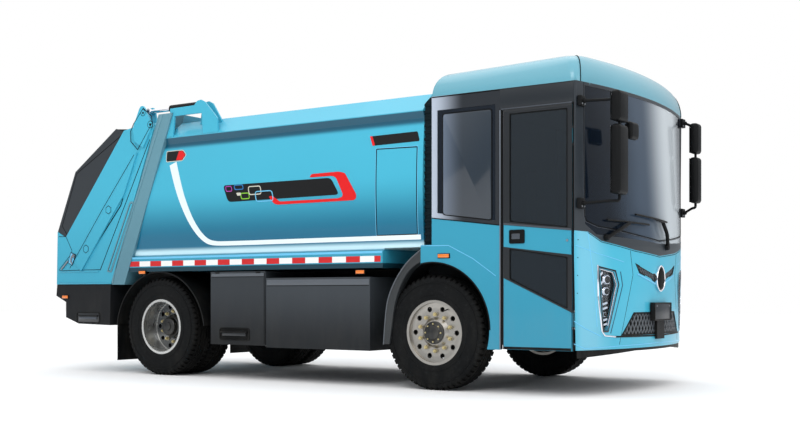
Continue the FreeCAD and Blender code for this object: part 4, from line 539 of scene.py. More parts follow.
def box_pattern(t, place, base, rough):
    """The container's paint with painted shade: deeper towards its foot, a painted shadow below the crown's
    fold, a painted highlight above the rail, and darker on and under the rail.
    """
    up = t.axis(place, "Z")
    # Painted shade: darker towards the container's foot and in a band below the crown's fold
    fold = t.math("MAXIMUM", t.ramp(up, FOLD_SHADE, FOLD_SHADE_TOP, 1.0, 0.10),
                  t.ramp(up, FOLD, FOLD + 0.009))
    side = t.math("MULTIPLY", t.ramp(up, SHADE_FOOT, SHADE_TOP), fold)
    foot = t.math("MAXIMUM", side, t.ramp(up, RAIL_TOP + 0.006, RAIL_TOP + 0.116, 0.30, 0.0))
    # Painted shade on the rail's face
    above = t.math("GREATER_THAN", up, RAIL_TOP)
    rail = t.math("MULTIPLY", t.math("SUBTRACT", 1.0, above), 0.62)
    color = shade(t, base, t.math("ADD", t.math("MULTIPLY", foot, above), rail), (0.03, 0.30, 0.385))
    # Painted shadow under the crown's fold
    under = t.math("MULTIPLY", t.ramp(up, FOLD_SHADE + 0.01, FOLD_SHADE_TOP, 0.0, 0.75),
                   t.ramp(up, FOLD, FOLD + 0.009, 1.0, 0.0))
    color = t.mix(under, color, linear((0.03, 0.25, 0.33)))
    # Painted highlight along the top of the rail
    gleam = t.math("MULTIPLY", t.ramp(up, RAIL_TOP + 0.010, RAIL_TOP + 0.026, 0.0, 0.85),
                   t.ramp(up, GLEAM_TOP - 0.060, GLEAM_TOP, 1.0, 0.0))
    color = t.mix(gleam, color, linear((0.84, 0.97, 1.0)))
    # Painted shadow under the rail
    return shade(t, color, t.ramp(up, RAIL_FOOT, RAIL_FOOT + 0.010), (0.10, 0.12, 0.13)), rough, None


def cab_pattern(t, place, base, rough):
    """The cab's paint with painted shade, deeper on the sides and lower down, clear on the front, and a
    painted highlight round the front corner.
    """
    along = t.axis(place, "X")
    # Painted shade on the sides, deeper low down, lifted towards the front
    low = t.ramp(t.axis(place, "Z"), 0.45, 1.45, 0.42, 0.55)
    front = t.ramp(along, CAB_CORNER - 0.005, CAB_CORNER + 0.02, 0.0, 0.5)
    color = shade(t, base, t.math("ADD", low, front))
    # Painted highlight round the front corner
    corner_highlight = t.math("MULTIPLY", t.ramp(along, CAB_CORNER, CAB_CORNER + 0.05, 0.0, 0.12),
                  t.ramp(along, CAB_CORNER + 0.08, CAB_CORNER + 0.18, 1.0, 0.0))
    return t.mix(corner_highlight, color, (0.9, 0.95, 1, 1)), rough, None


def gate_pattern(t, place, base, rough):
    """The tailgate's paint with painted shade, a little deeper low down."""
    return shade(t, base, t.ramp(t.axis(place, "Z"), 1.0, 2.2, 0.72, 1.0)), rough, None


def surround_pattern(t, place, base, rough):
    """Grey round the screen; on the sides a painted pale reflection at the rear edge, then dark."""
    along = t.axis(place, "X")
    # Painted reflection: pale at the side's rear edge, dark further forward
    side = t.mix(t.ramp(along, FRONT_AXLE - 0.02, FRONT_AXLE + 0.34), linear((0.69, 0.73, 0.79)),
                 linear((0.075, 0.10, 0.13)))
    return t.mix(t.ramp(along, CAB_CORNER, CAB_CORNER + 0.02), side, base), rough, None


def pane_pattern(t, place, base, rough):
    """The side pane's broad pale reflection towards its rear edge."""
    pale = t.ramp(t.axis(place, "X"), FRONT_AXLE + 0.04, FRONT_AXLE + 0.34, 1.0, 0.0)
    return t.mix(pale, base, linear((0.40, 0.45, 0.52))), rough, None


def screen_pattern(t, place, base, rough):
    """The windscreen's tint, dark towards its ends, with a painted broad pale reflection between."""
    across = t.axis(place, "Y")
    # Painted reflection across the screen
    centre = t.mix(t.ramp(across, -0.86, -0.30), base, linear((0.24, 0.30, 0.37)))
    bright = t.mix(t.ramp(across, -0.22, 0.42), centre, linear((0.82, 0.85, 0.87)))
    return t.mix(t.ramp(across, 0.62, 1.05), bright, base), rough, None


def from_axle(t, place, axle):
    """How far a place is from an axle's line."""
    along = t.math("SUBTRACT", t.axis(place, "X"), axle)
    up = t.math("SUBTRACT", t.axis(place, "Z"), TYRE_RADIUS / 1000)
    return t.math("SQRT", t.math("ADD", t.math("MULTIPLY", along, along), t.math("MULTIPLY", up, up)))


def rear_rim_pattern(t, place, base, rough):
    """A bright outer rim round a dark dish."""
    outer = t.ramp(from_axle(t, place, REAR_AXLE), 0.262, 0.274)
    return t.mix(outer, linear((0.36, 0.37, 0.38)), base), rough, None


def locker_pattern(t, place, base, rough):
    """The lockers' grey with painted shade, darker towards the ground and on the rear locker."""
    # Painted shade: darker low down and on the rear locker
    factor = t.math("MULTIPLY", t.ramp(t.axis(place, "Z"), 0.36, 0.98, 0.22, 1.0),
                    t.ramp(t.axis(place, "X"), FRONT_AXLE - 2.02, FRONT_AXLE - 1.98, 0.72, 1.0))
    return shade(t, base, factor, (0.02, 0.02, 0.025)), rough, None


# Where a red field of the tape begins, in metres ahead of the front axle
FIRST_RED = -3.98


def tape_pattern(t, place, base, rough):
    """Alternate red and white fields along the truck with a fine honeycomb."""
    pitch = bpy.context.scene.truck_trim.tape_pitch
    start = FRONT_AXLE + FIRST_RED - pitch / 2
    wave = t.math("FRACT", t.math("DIVIDE", t.math("SUBTRACT", t.axis(place, "X"), start), pitch))
    red = t.math("GREATER_THAN", wave, 0.5)
    cells = t.add("ShaderNodeTexVoronoi", {"Vector": place, "Scale": 260.0}).outputs["Distance"]
    color = t.mix(red, linear((0.93, 0.93, 0.92)), linear((0.78, 0.05, 0.07)))
    return color, t.math("ADD", rough, t.math("MULTIPLY", cells, 0.2)), cells


def mesh_pattern(t, place, base, rough):
    """Woven cloth or fine moulded check."""
    check = t.add("ShaderNodeTexChecker", {"Vector": place, "Scale": 380.0}).outputs["Fac"]
    return t.mix(t.math("MULTIPLY", check, 0.35), base, linear((0.30, 0.31, 0.33))), rough, check


def brushed_pattern(t, place, base, rough):
    """Long fine scratches along the truck."""
    lines = t.add("ShaderNodeMapping", {"Vector": place, "Scale": (4.0, 160.0, 160.0)}).outputs[0]
    scratch = t.noise(lines, 3.0, 4.0)
    return base, t.math("ADD", rough, t.math("MULTIPLY", scratch, 0.18)), scratch


def rubber_pattern(t, place, base, rough):
    """Scuffs, and a darker tread."""
    scuff = t.noise(place, 34.0, 5.0, 0.7)
    color = t.mix(t.ramp(scuff, 0.5, 0.8, 0.0, 0.35), base, linear((0.19, 0.195, 0.20)))
    tread = t.math("MINIMUM", from_axle(t, place, FRONT_AXLE), from_axle(t, place, REAR_AXLE))
    return shade(t, color, t.ramp(tread, 0.498, 0.508, 1.0, 0.25), (0, 0, 0)), rough, scuff


def lens_pattern(t, place, base, rough):
    """Upright flutes moulded in a lens."""
    return base, rough, t.math("SINE", t.math("MULTIPLY", t.axis(place, "Y"), 900.0))


def make_finishes(scene):
    """All surfaces: paints, metals, rubber and plastics, glass, lenses and plain label colours."""
    make = functools.partial(finish, shared_groups())
    colors = scene.truck_colors
    body, dark, grey = tuple(colors.body), tuple(colors.dark), tuple(colors.panel)
    paint = {"coat": 0.22, "tone": 0.05, "tone_scale": 0.9, "film": 0.06, "grain": (420.0, 0.02), "wear": 0.2,
             "wear_color": (0.45, 0.62, 0.68), "edge": 0.005, "Specular IOR Level": 0.32}
    matt = {"Specular IOR Level": 0.14}
    make("box_paint", body, 0.32, pattern=box_pattern, **paint)
    make("cab_paint", body, 0.32, pattern=cab_pattern, **paint)
    make("gate_paint", body, 0.34, pattern=gate_pattern, **paint)
    make("roof_paint", tuple(colors.roof), 0.30, coat=0.5, tone=0.03, film=0.0, grain=(420.0, 0.02),
         edge=0.006)
    make("dark_paint", dark, 0.34, coat=0.3, tone=0.12, film=0.1, edge=0.004)
    make("grey_panel", grey, 0.46, tone=0.10, film=0.03, grain=(300.0, 0.05), wear=0.25,
         wear_color=(0.33, 0.35, 0.38), edge=0.004, pattern=locker_pattern, **{"Specular IOR Level": 0.25})
    make("box_dark", (0.095, 0.102, 0.113), 0.5, tone=0.10, film=0.05, grain=(300.0, 0.05), edge=0.004,
         **matt)
    # The ring frame's blue is the body's blue darkened and greyed, a shaded copy that paints the ring's shade
    make("ring_paint", (0.37, 0.56, 0.62), 0.34, coat=0.4, tone=0.05, film=0.08, edge=0.005,
         pattern=gate_pattern)
    make("wing_grey", (0.15, 0.165, 0.175), 0.46, tone=0.08, film=0.05, grain=(500.0, 0.08), edge=0.010)
    make("frame_paint", (0.055, 0.06, 0.065), 0.60, tone=0.25, film=0.40, grain=(180.0, 0.18), edge=0.003,
         **matt)
    make("cast_iron", (0.11, 0.11, 0.115), 0.62, metallic=0.4, tone=0.3, film=0.5, grain=(240.0, 0.5),
         edge=0.004)
    make("rim_alloy", (0.66, 0.645, 0.62), 0.24, metallic=1.0, tone=0.10, tone_scale=6.0, film=0.12,
         grain=(300.0, 0.05), edge=0.003, pattern=brushed_pattern)
    make("rear_rim", (0.80, 0.80, 0.79), 0.26, metallic=0.9, tone=0.10, tone_scale=6.0, film=0.12,
         grain=(300.0, 0.05), edge=0.003, pattern=rear_rim_pattern)
    make("rim_dark", (0.20, 0.205, 0.21), 0.34, metallic=0.8, tone=0.2, film=0.3, grain=(200.0, 0.1),
         edge=0.003)
    make("nut_cap", (0.80, 0.74, 0.55), 0.30, metallic=0.8, tone=0.1, film=0.1, edge=0.001)
    make("steel", (0.55, 0.56, 0.58), 0.34, metallic=1.0, tone=0.2, film=0.25, grain=(120.0, 0.1), wear=0.2,
         edge=0.003, pattern=brushed_pattern)
    make("chrome", (0.90, 0.90, 0.92), 0.07, metallic=1.0, tone=0.03, film=0.0, edge=0.001)
    make("tyre_rubber", (0.040, 0.047, 0.053), 0.74, tone=0.2, tone_scale=3.0, film=0.03, grain=(300.0, 0.25),
         edge=0.002, pattern=rubber_pattern, **matt)
    make("black_plastic", (0.040, 0.046, 0.052), 0.50, tone=0.15, film=0.06, grain=(700.0, 0.18), edge=0.003,
         **matt)
    make("gloss_black", (0.020, 0.027, 0.036), 0.12, coat=0.4, tone=0.1, film=0.0, edge=0.003)
    make("frame_black", (0.055, 0.075, 0.095), 0.30, coat=0.3, tone=0.06, film=0.0, edge=0.004)
    make("surround", (0.15, 0.175, 0.20), 0.38, tone=0.06, film=0.0, edge=0.006, pattern=surround_pattern)
    # Near black, for gaskets and seams and for painted shadow lines
    make("gasket", (0.025, 0.03, 0.034), 0.66, tone=0.1, film=0.04, grain=(500.0, 0.1), edge=0.001, **matt)
    make("bellows", (0.012, 0.075, 0.10), 0.70, tone=0.2, film=0.0, grain=(500.0, 0.1), edge=0.006, **matt)
    make("satin_strip", (0.50, 0.53, 0.57), 0.35, metallic=0.6, tone=0.1, film=0.0, edge=0.001)
    make("white_trim", (0.90, 0.95, 0.96), 0.35, coat=0.4, tone=0.03, film=0.05, edge=0.001)
    make("tape", (0.9, 0.9, 0.9), 0.30, tone=0.05, film=0.1, grain=(0.0, 0.05), edge=0.0,
         pattern=tape_pattern)
    lens = dict(coat=1.0, film=0.0, grain=(0.0, 0.25), edge=0.001, pattern=lens_pattern)
    make("amber_lens", (0.93, 0.48, 0.10), 0.12, tone=0.05, **lens)
    make("red_lens", (0.66, 0.05, 0.05), 0.12, tone=0.05, **lens)
    make("white_lens", (0.90, 0.92, 0.95), 0.10, tone=0.03, **lens)
    make("grab_yellow", (0.62, 0.60, 0.20), 0.35, coat=0.4, tone=0.08, film=0.0, edge=0.002)
    make("seat_cloth", (0.12, 0.13, 0.15), 0.85, tone=0.15, tone_scale=8.0, film=0.0, grain=(0.0, 0.3),
         edge=0.006, pattern=mesh_pattern)
    make("cab_trim", (0.17, 0.18, 0.20), 0.62, tone=0.12, film=0.0, grain=(900.0, 0.2), edge=0.006)
    make("tinted_glass", tuple(colors.glass), 0.03, tone=0.0, film=0.0, edge=0.0,
         **{"Transmission Weight": 0.75, "IOR": 1.5})
    make("screen_glass", (0.065, 0.10, 0.145), 0.10, tone=0.0, film=0.0, edge=0.0, pattern=screen_pattern,
         **{"Transmission Weight": 0.2, "Specular IOR Level": 0.3})
    make("clear_lens", (0.93, 0.95, 0.97), 0.02, tone=0.0, film=0.0, edge=0.0,
         **{"Transmission Weight": 1.0, "IOR": 1.12})
    # Plain colours: the pale sky blue serves the label's tiles and painted highlight strips; the deep blue is
    # a painted shadow line; the edge grey paints edge highlights
    for label, color in (("tile_blue", (0.16, 0.47, 0.72)), ("tile_green", (0.50, 0.74, 0.20)),
                         ("tile_violet", (0.66, 0.24, 0.62)), ("tile_pale", (0.80, 0.79, 0.74)),
                         ("tile_sky", (0.42, 0.75, 0.90)), ("label_red", (0.86, 0.08, 0.09)),
                         ("label_black", (0.03, 0.03, 0.035)), ("header_grey", (0.125, 0.145, 0.165)),
                         ("satin_dark", (0.26, 0.28, 0.31)), ("edge_grey", (0.34, 0.36, 0.385)),
                         ("deep_blue", (0.10, 0.33, 0.42)), ("mesh_grey", (0.36, 0.38, 0.40)),
                         ("tape_red", (0.80, 0.09, 0.10)), ("tape_white", (0.93, 0.93, 0.92))):
        make(label, color, 0.34, coat=0.1, tone=0.04, film=0.0, edge=0.001, **{"Specular IOR Level": 0.3})
    make("inner_pane", (0.14, 0.18, 0.22), 0.10, coat=0.3, tone=0.0, film=0.0, edge=0.0, pattern=pane_pattern)
    make("mirror_face", (0.86, 0.88, 0.90), 0.02, metallic=1.0, tone=0.0, film=0.0, edge=0.0)


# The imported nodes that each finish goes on
FINISH_NODES = {
    "frame_paint": ("chassis_frame", "leaf_springs", "lift_barrels"),
    "cast_iron": ("front_axle", "rear_axle", "engine_block", "knuckle_right", "knuckle_left"),
    "cab_paint": ("cab_front_panel", "cab_sides", "door_right", "door_left"),
    "black_plastic": ("front_grilles", "bumper_trim", "mirrors", "rear_fenders"),
    "gloss_black": ("headlamps",),
    "surround": ("window_surround",),
    "screen_glass": ("cab_glass",),
    "roof_paint": ("cab_roof",),
    "cab_trim": ("cab_floor", "dashboard"),
    "dark_paint": ("cab_rear_wall",),
    "seat_cloth": ("seats",),
    "steel": ("door_hinges", "packer_plate", "packer_blade"),
    "box_paint": ("container",),
    "ring_paint": ("ring_frame",),
    "gate_paint": ("roof_guards", "gate_sides", "gate_trough"),
    "grey_panel": ("side_lockers", "gate_covers"),
    "wing_grey": ("wing_trims",),
    "tinted_glass": ("door_glass_right", "door_glass_left"),
    "tyre_rubber": ("front_tyre_right", "front_tyre_left", "rear_tyres_right", "rear_tyres_left"),
    "rim_alloy": ("front_rim_right", "front_rim_left"),
    "rear_rim": ("rear_rims_right", "rear_rims_left"),
    "box_dark": ("gate_boxes",),
    "red_lens": ("tail_lamps",),
    "chrome": ("lift_rods",),
}


def dress_all(scene):
    """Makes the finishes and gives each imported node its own."""
    make_finishes(scene)
    for finish_name, nodes in FINISH_NODES.items():
        for name in nodes:
            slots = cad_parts[name].data.materials
            slots.clear()
            slots.append(MATERIALS[finish_name])


# Wheels

RIGHT, LEFT = -1, 1
SIDES = ((RIGHT, "right"), (LEFT, "left"))
# How far out the tyres' middles are, and the share of the pitch that a lug takes
FRONT_TYRE, REAR_TYRES = 1085, (1075, 763)
LUG_SHARE = 0.66
NUTS, NUT_CIRCLE = 10, 167
HUB_BOLTS, HUB_CIRCLE = 8, 82


def tyre_mesh(lugs):
    """One tyre at the truck's middle plane: carcass, ribs, shoulder lugs and side rings."""
    part = bmesh.new()
    reach = TYRE_RADIUS
    half = [(289, 108), (292, 124), (304, 133), (330, 138), (342, 139), (344, 142), (352, 142), (354, 139),
            (400, 141), (440, 140), (452, 138), (454, 143), (463, 142), (465, 136), (486, 131), (502, 122),
            (reach - 16, 110), (reach - 14, 80)]
    crown = [(reach - 1, 77), (reach, 74), (reach, 46), (reach - 1, 44), (reach - 14, 41), (reach - 14, 33),
             (reach - 1, 30), (reach, 28), (reach, 7), (reach - 1, 5), (reach - 12, 3)]
    outer = half + crown
    profile = outer + [(radius, -along) for radius, along in reversed(outer)]
    lathe(part, profile, (0, 0, 0), 112)
    step = 360 / lugs
    shoulder = [(reach, 79), (reach, 106), (reach - 5, 117), (reach - 24, 129), (reach - 56, 137),
                (reach - 58, 131), (reach - 22, 113), (reach - 18, 80)]
    hub = at(0, 0, 0)
    for side in (LEFT, RIGHT):
        block = bmesh.new()
        face = block.faces.new([block.verts.new(at(0, side * along, radius)) for radius, along in shoulder])
        bmesh.ops.spin(block, geom=[face] + face.edges[:] + face.verts[:], cent=hub, axis=(0, 1, 0),
                       angle=math.radians(step * LUG_SHARE), steps=1, use_duplicate=False, dvec=(0, 0, 0))
        bmesh.ops.holes_fill(block, edges=[edge for edge in block.edges if len(edge.link_faces) == 1])
        bmesh.ops.recalc_face_normals(block, faces=block.faces)
        soften(block, 2.5, 1, 40)
        for index in range(lugs):
            turn = math.radians(step * (index + (0.5 if side == RIGHT else 0)))
            absorb(part, block.copy(), Matrix.Translation(hub) @ Matrix.Rotation(turn, 4, "Y")
                   @ Matrix.Translation(-hub))
        block.free()
    return part


def place_copy(target, source, x, y, z):
    """Adds a moved copy of a part."""
    absorb(target, source.copy(), Matrix.Translation((x / 1000, y / 1000, z / 1000)))


def fit_tyres(scene):
    """Treaded tyres, one at each front wheel and two at each rear wheel."""
    pattern = tyre_mesh(scene.truck_trim.tyre_lugs)
    for side, name in SIDES:
        front, rear = bmesh.new(), bmesh.new()
        place_copy(front, pattern, 0, side * FRONT_TYRE, TYRE_RADIUS)
        for across in REAR_TYRES:
            place_copy(rear, pattern, -WHEELBASE, side * across, TYRE_RADIUS)
        piece("tread_front_" + name, front, "tyre_rubber", "front_wheel_" + name,
              replaces=["front_tyre_" + name])
        piece("tread_rear_" + name, rear, "tyre_rubber", "rear_wheels_" + name,
              replaces=["rear_tyres_" + name])
    pattern.free()


def round_hub(axle, radius, degrees):
    """A place on a circle about an axle."""
    turn = math.radians(degrees)
    return axle + radius * math.cos(turn), TYRE_RADIUS + radius * math.sin(turn)


def hub_fittings(axle, disc, cap):
    """Right-hand hub cap, nuts, bolts and valve; paints are 0 rim, 1 nut caps, 2 dark, 3 web."""
    part = bmesh.new()

    def stud(x, z, near, far, *rest):
        bar(part, (x, -disc - near, z), (x, -disc - far, z), *rest)

    lathe(part, [(radius, -disc - depth) for radius, depth in cap], (axle, 0, TYRE_RADIUS), 48, 2)
    for index in range(NUTS):
        x, z = round_hub(axle, NUT_CIRCLE, 36 * index + 18)
        stud(x, z, 1, 7, 24, 20, 0)
        stud(x, z, 7, 30, 19, 6, 1, 1.5)
        stud(x, z, 30, 42, 14, 16, 1, 3, 10)
    for index in range(HUB_BOLTS):
        stud(*round_hub(axle, HUB_CIRCLE, 45 * index), 38, 58, 8, 6, 1, 1)
    x, z = round_hub(axle, 248, 60)
    bar(part, (x, 6 - disc, z), (x - 10, -disc - 44, z - 14), 6, 10, 2)
    web = [(60, 34), (236, 34), (236, 40), (60, 40), (60, 34)]
    lathe(part, [(radius, depth - disc) for radius, depth in web], (axle, 0, TYRE_RADIUS), 40, 3)
    return part


def fit_hubs():
    """Hub caps, nuts and valves on the front and rear wheels."""
    front_cap = [(104, 20), (104, 40), (98, 46), (72, 48), (66, 52), (62, 62), (54, 66), (0, 66)]
    rear_cap = [(112, 20), (112, 44), (100, 52), (96, 96), (88, 104), (52, 106), (48, 116), (40, 120),
                (0, 120)]
    for kind, body, axle, disc, cap in (("front", "front_wheel_", 0, 1176, front_cap),
                                        ("rear", "rear_wheels_", -WHEELBASE, 1000, rear_cap)):
        for side, name in SIDES:
            part = hub_fittings(axle, disc, cap)
            if side == LEFT:
                flip(part)
            piece("hub_%s_%s" % (kind, name), part, ("rim_alloy", "nut_cap", "rim_dark", "gasket"),
                  body + name)


# Container

def circle_through(a, b, c):
    """Centre and radius of the circle through three (across, up) places."""
    (ax, ay), (bx, by), (cx, cy) = a, b, c
    d = 2 * (ax * (by - cy) + bx * (cy - ay) + cx * (ay - by))
    aa, bb, cc = ax ** 2 + ay ** 2, bx ** 2 + by ** 2, cx ** 2 + cy ** 2
    ux = (aa * (by - cy) + bb * (cy - ay) + cc * (ay - by)) / d
    uy = (aa * (cx - bx) + bb * (ax - cx) + cc * (bx - ax)) / d
    return ux, uy, math.hypot(ax - ux, ay - uy)


SIDE_CENTRE_Y, SIDE_CENTRE_Z, SIDE_RADIUS = circle_through((1205, 1300), (1232, 1850), (1200, 2495))


def side_y(z):
    """How far out the container's side is at a height."""
    return SIDE_CENTRE_Y + math.sqrt(max(SIDE_RADIUS ** 2 - (z - SIDE_CENTRE_Z) ** 2, 0))


def wrap_side(part):
    """Lays a part built round y = 0, outward negative, onto the container's right side."""
    for vert in part.verts:
        vert.co.y -= side_y(vert.co.z * 1000) / 1000


def ribbon(target, points, width, depth):
    """A flat strip of constant or changing width along a line on the container's side."""
    widths = width if isinstance(width, (list, tuple)) else [width] * len(points)
    left, right = [], []
    for number, (x, z) in enumerate(points):
        before, after = points[max(number - 1, 0)], points[min(number + 1, len(points) - 1)]
        along = Vector((after[0] - before[0], after[1] - before[1])).normalized()
        across = Vector((-along.y, along.x)) * widths[number] / 2
        left.append((x + across.x, z + across.y))
        right.append((x - across.x, z - across.y))
    part = bmesh.new()
    for start in range(len(points) - 1):
        corners = [left[start], left[start + 1], right[start + 1], right[start]]
        part.faces.new([part.verts.new(at(x, 0, z)) for x, z in corners])
    bmesh.ops.remove_doubles(part, verts=part.verts, dist=RIBBON_GAP)
    thicken(part, depth)
    slice_across(part, *SIDE_STEP)
    paint_faces(part, 0)
    absorb(target, part)


def thicken(part, depth):
    """Gives a flat part in a side plane its thickness outward to the right."""
    pull(part, part.faces[:], (0, -depth / 1000, 0))


def smooth_line(points, steps=6):
    """A rounded line through the given corners."""
    line = [points[0]]
    for a, b, c in zip(points, points[1:], points[2:]):
        start = ((a[0] + b[0]) / 2, (a[1] + b[1]) / 2) if a != points[0] else line[0]
        end = ((b[0] + c[0]) / 2, (b[1] + c[1]) / 2) if c != points[-1] else c
        line += [tuple(spot) for spot in bend(Vector(start), Vector(b), Vector(end), steps)[1:]]
    return line


# The white stripe's middle line, (along, up), where its bend ends and its width from there on
STRIPE = [(-3316, 2281), (-3261, 2124), (-3194, 1946), (-3119, 1790), (-3029, 1634), (-2925, 1512),
          (-2822, 1434), (-2720, 1408), (-2520, 1403), (-1400, 1404), (-140, 1402)]
STRIPE_BEND, STRIPE_END = -2700, 45


def fit_stripes(scene):
    """The white curved stripe, the red and white tape and a pale strip painted as the lower rail's highlight.
    """
    part = bmesh.new()
    top = scene.truck_trim.stripe_width * 1000
    line = smooth_line(STRIPE, 4)
    turn = next(number for number, spot in enumerate(line) if spot[0] > STRIPE_BEND)
    widths = [top - (top - STRIPE_END) * min(number / turn, 1) for number in range(len(line))]
    ribbon(part, line, widths, 2.5)
    wrap_side(part)
    piece("white_stripe", part, "white_trim", both=True)
    part = bmesh.new()
    slab(part, (-4092, -1236.5, 1181), (-578, -1234.8, 1238), 0.4, segments=1)
    piece("side_tape", part, "tape", both=True)
    part = bmesh.new()
    # A pale blue strip along the rail's top, a painted highlight
    slab(part, (-3930, -1239, 1262), (-560, -1228, 1284), 3)
    piece("rail_edges", part, "tile_sky", both=True)


def loop_line(target, corners, width, depth):
    """A thin line round a closed outline on the container's side."""
    points = list(corners) + [corners[0], corners[1]]
    for a, b in zip(points, points[1:-1]):
        ribbon(target, [a, b], width, depth)


def tile_ring(target, x, z, half_x, half_z, line, index, depth, lean):
    """A rounded tile outline on the container's side."""
    corners = rectangle((-half_x, -half_z), (half_x, half_z))
    outer = rounded([(x + a + lean * b / half_z, z + b) for a, b in corners], half_z * 0.7, 4)
    inner = rounded([(x + a * (1 - line / half_x) + lean * b / half_z, z + b * (1 - line / half_z))
                     for a, b in corners], half_z * 0.45, 4)
    part = bmesh.new()
    rims = [[part.verts.new(at(a, 0, b)) for a, b in points] for points in (outer, inner)]
    close_rows(part, *rims)
    thicken(part, depth)
    paint_faces(part, index)
    absorb(target, part)


# Lines round the service panel: name, corners, width, thickness, finish and slot
PANEL_LINES = (
    ("panel_seam", [(-633, 2242), (-176, 2232), (-176, 1429), (-633, 1429)], 9, 1.2, "gasket",
     "black_plastic"),
    # A pale line beside the seam, a painted highlight on the panel's edge
    ("panel_light_edge", [(-641, 2250), (-168, 2240), (-168, 1430), (-641, 1430)], 5, 0.9, "tile_sky",
     "blue_paint"),
)
# The side label's tiles: middle, half sizes, line width, paint, thickness and lean
TILES = (
    (-2497, 1966, 44, 30, 9, 1, 3.4, -6), (-2360, 1976, 62, 27, 9, 2, 3.4, -6),
    (-2142, 1933, 86, 46, 10, 4, 3.4, -8), (-2272, 1882, 60, 34, 10, 3, 3.4, -6),
    (-2016, 1868, 118, 56, 10, 5, 4.2, -10),
)
# Flat label shapes: outline, corner radius, corner steps, thickness and paint
LABELS = (
    ([(-2580, 2006), (-1170, 2004), (-1068, 1836), (-2506, 1830)], 46, 5, 2.0, 0),
    ([(-2392, 1920), (-2330, 1920), (-2326, 1890), (-2376, 1888)], 10, 3, 3.6, 4),
    ([(-1433, 2022), (-1410, 2054), (-1075, 2058), (-1000, 2040), (-862, 1826), (-868, 1786), (-900, 1774),
      (-1846, 1774), (-1892, 1790), (-1956, 1862), (-1906, 1866), (-1812, 1803), (-1080, 1801), (-1030, 1812),
      (-1022, 1840), (-1106, 2002), (-1150, 2022)], 18, 3, 3.0, 6),
    ([(-716, 2370), (-178, 2376), (-150, 2284), (-680, 2278)], 16, 4, 2.0, 0),
    ([(-716, 2370), (-688, 2371), (-652, 2280), (-680, 2278)], 6, 3, 3.0, 6),
    ([(-3424, 2424), (-3176, 2424), (-3120, 2366), (-3176, 2302), (-3424, 2302)], 20, 3, 1.6, 4),
    ([(-3416, 2416), (-3180, 2416), (-3131, 2366), (-3180, 2310), (-3416, 2310)], 16, 3, 2.4, 0),
    ([(-3236, 2411), (-3184, 2411), (-3138, 2366), (-3184, 2315), (-3272, 2315)], 8, 3, 3.2, 6),
)


def fit_side_panel():
    """The service panel's lines and the blank labels on the container's side."""
    for name, corners, width, depth, finish_name, slot in PANEL_LINES:
        part = bmesh.new()
        loop_line(part, corners, width, depth)
        wrap_side(part)
        piece(name, part, finish_name, both=True)
    part = bmesh.new()
    for outline, radius, steps, depth, index in LABELS:
        label_shape(part, rounded(outline, radius, steps), depth, index)
    for tile in TILES:
        tile_ring(part, *tile)
    wrap_side(part)
    piece("side_label", part, ("label_black", "tile_violet", "tile_blue", "tile_green", "tile_pale",
                               "tile_sky", "label_red"), both=True)


def label_shape(target, points, depth, index):
    """A flat plate on the container's side."""
    part = bmesh.new()
    part.faces.new([part.verts.new(at(x, 0, z)) for x, z in points])
    thicken(part, depth)
    slice_across(part, *SIDE_STEP)
    paint_faces(part, index)
    absorb(target, part)


def amber_lamp(target, place, half):
    """A marker lamp: a black foot and an amber lens on a side face."""
    x, y, z = place
    slab(target, (x - half - 8, y - 4, z - 22), (x + half + 8, y + 1, z + 22), 2, 1)
    slab(target, (x - half, y - 16, z - 16), (x + half, y - 4, z + 16), 5, 0, 3)


def fit_markers():
    """Amber lamps along the sides and on the tailgate, and the rear one's bracket."""
    part = bmesh.new()
    for place, half in (((-3761, -1240, 1116), 48), ((-812, -1234, 1088), 48), ((130, -1250, 1222), 58)):
        amber_lamp(part, place, half)
    slab(part, (-3815, -1240, 1088), (-3707, -1150, 1096), 2, 1)
    slab(part, (-3815, -1160, 1088), (-3807, -1100, 1176), 2, 1)
    piece("side_markers", part, ("amber_lens", "black_plastic"), both=True)
    part = bmesh.new()
    amber_lamp(part, (-5030, -1245, 846), 48)
    piece("tail_markers", part, ("amber_lens", "black_plastic"), "tailgate", both=True)


def recess_handle(target, x0, x1, z0, z1, y):
    """A recessed pull: dark tray, rounded rim and lever, as paint indexes 0 tray, 1 rim, 2 lever."""
    tray = rounded(rectangle((x0, z0), (x1, z1)), 24, 6)
    outer = rounded(rectangle((x0 - 14, z0 - 12), (x1 + 14, z1 + 12)), 34, 6)
    frame_ring(target, "side", outer, tray, y + 1, y - 7, 2, 1)
    prism(target, "side", tray, y + 1, y - 2, 0.5, 0)
    middle_z = (z0 + z1) / 2
    slab(target, (x0 + 34, y - 12, middle_z - 20), (x1 - 34, y - 2, middle_z + 12), 7, 2)
    bar(target, (x0 + 14, y - 12, middle_z + 20), (x1 - 14, y - 12, middle_z + 20), 8, 12, 1)


def fit_lockers():
    """Seams, top edges with painted highlight strips, pulls and hinges on the side lockers."""
    part = bmesh.new()
    recess_handle(part, -2616, -2226, 412, 522, -1230)
    slab(part, (-2744, -1231, 1052), (-2016, -1229, 1057), 0, 0)
    slab(part, (-1984, -1231, 958), (-715, -1229, 963), 0, 0)
    slab(part, (-2022, -1232, 372), (-2014, -1229, 1094), 0, 0)
    for x in (-2660, -2100):
        slab(part, (x - 30, -1234, 1090), (x + 30, -1229, 1106), 2, 1)
    piece("locker_fittings", part, ("gasket", "black_plastic", "frame_black"), both=True)
    part = bmesh.new()
    # Lighter grey strips along the lockers' top edges, painted highlights
    prism(part, "side", rectangle((-1984, 966), (-715, 1022)), -1226, -1231.5, 3, 0)
    prism(part, "side", rectangle((-2744, 1060), (-2022, 1092)), -1226, -1231, 3, 0)
    piece("locker_edges", part, "edge_grey", both=True)


# Cab

# The cab's right face, the steps across the roof's front edge and the slope of the grille's bars
SKIN = -1250
ROOF_STEPS = 40
LATTICE_LEAN = 0.62
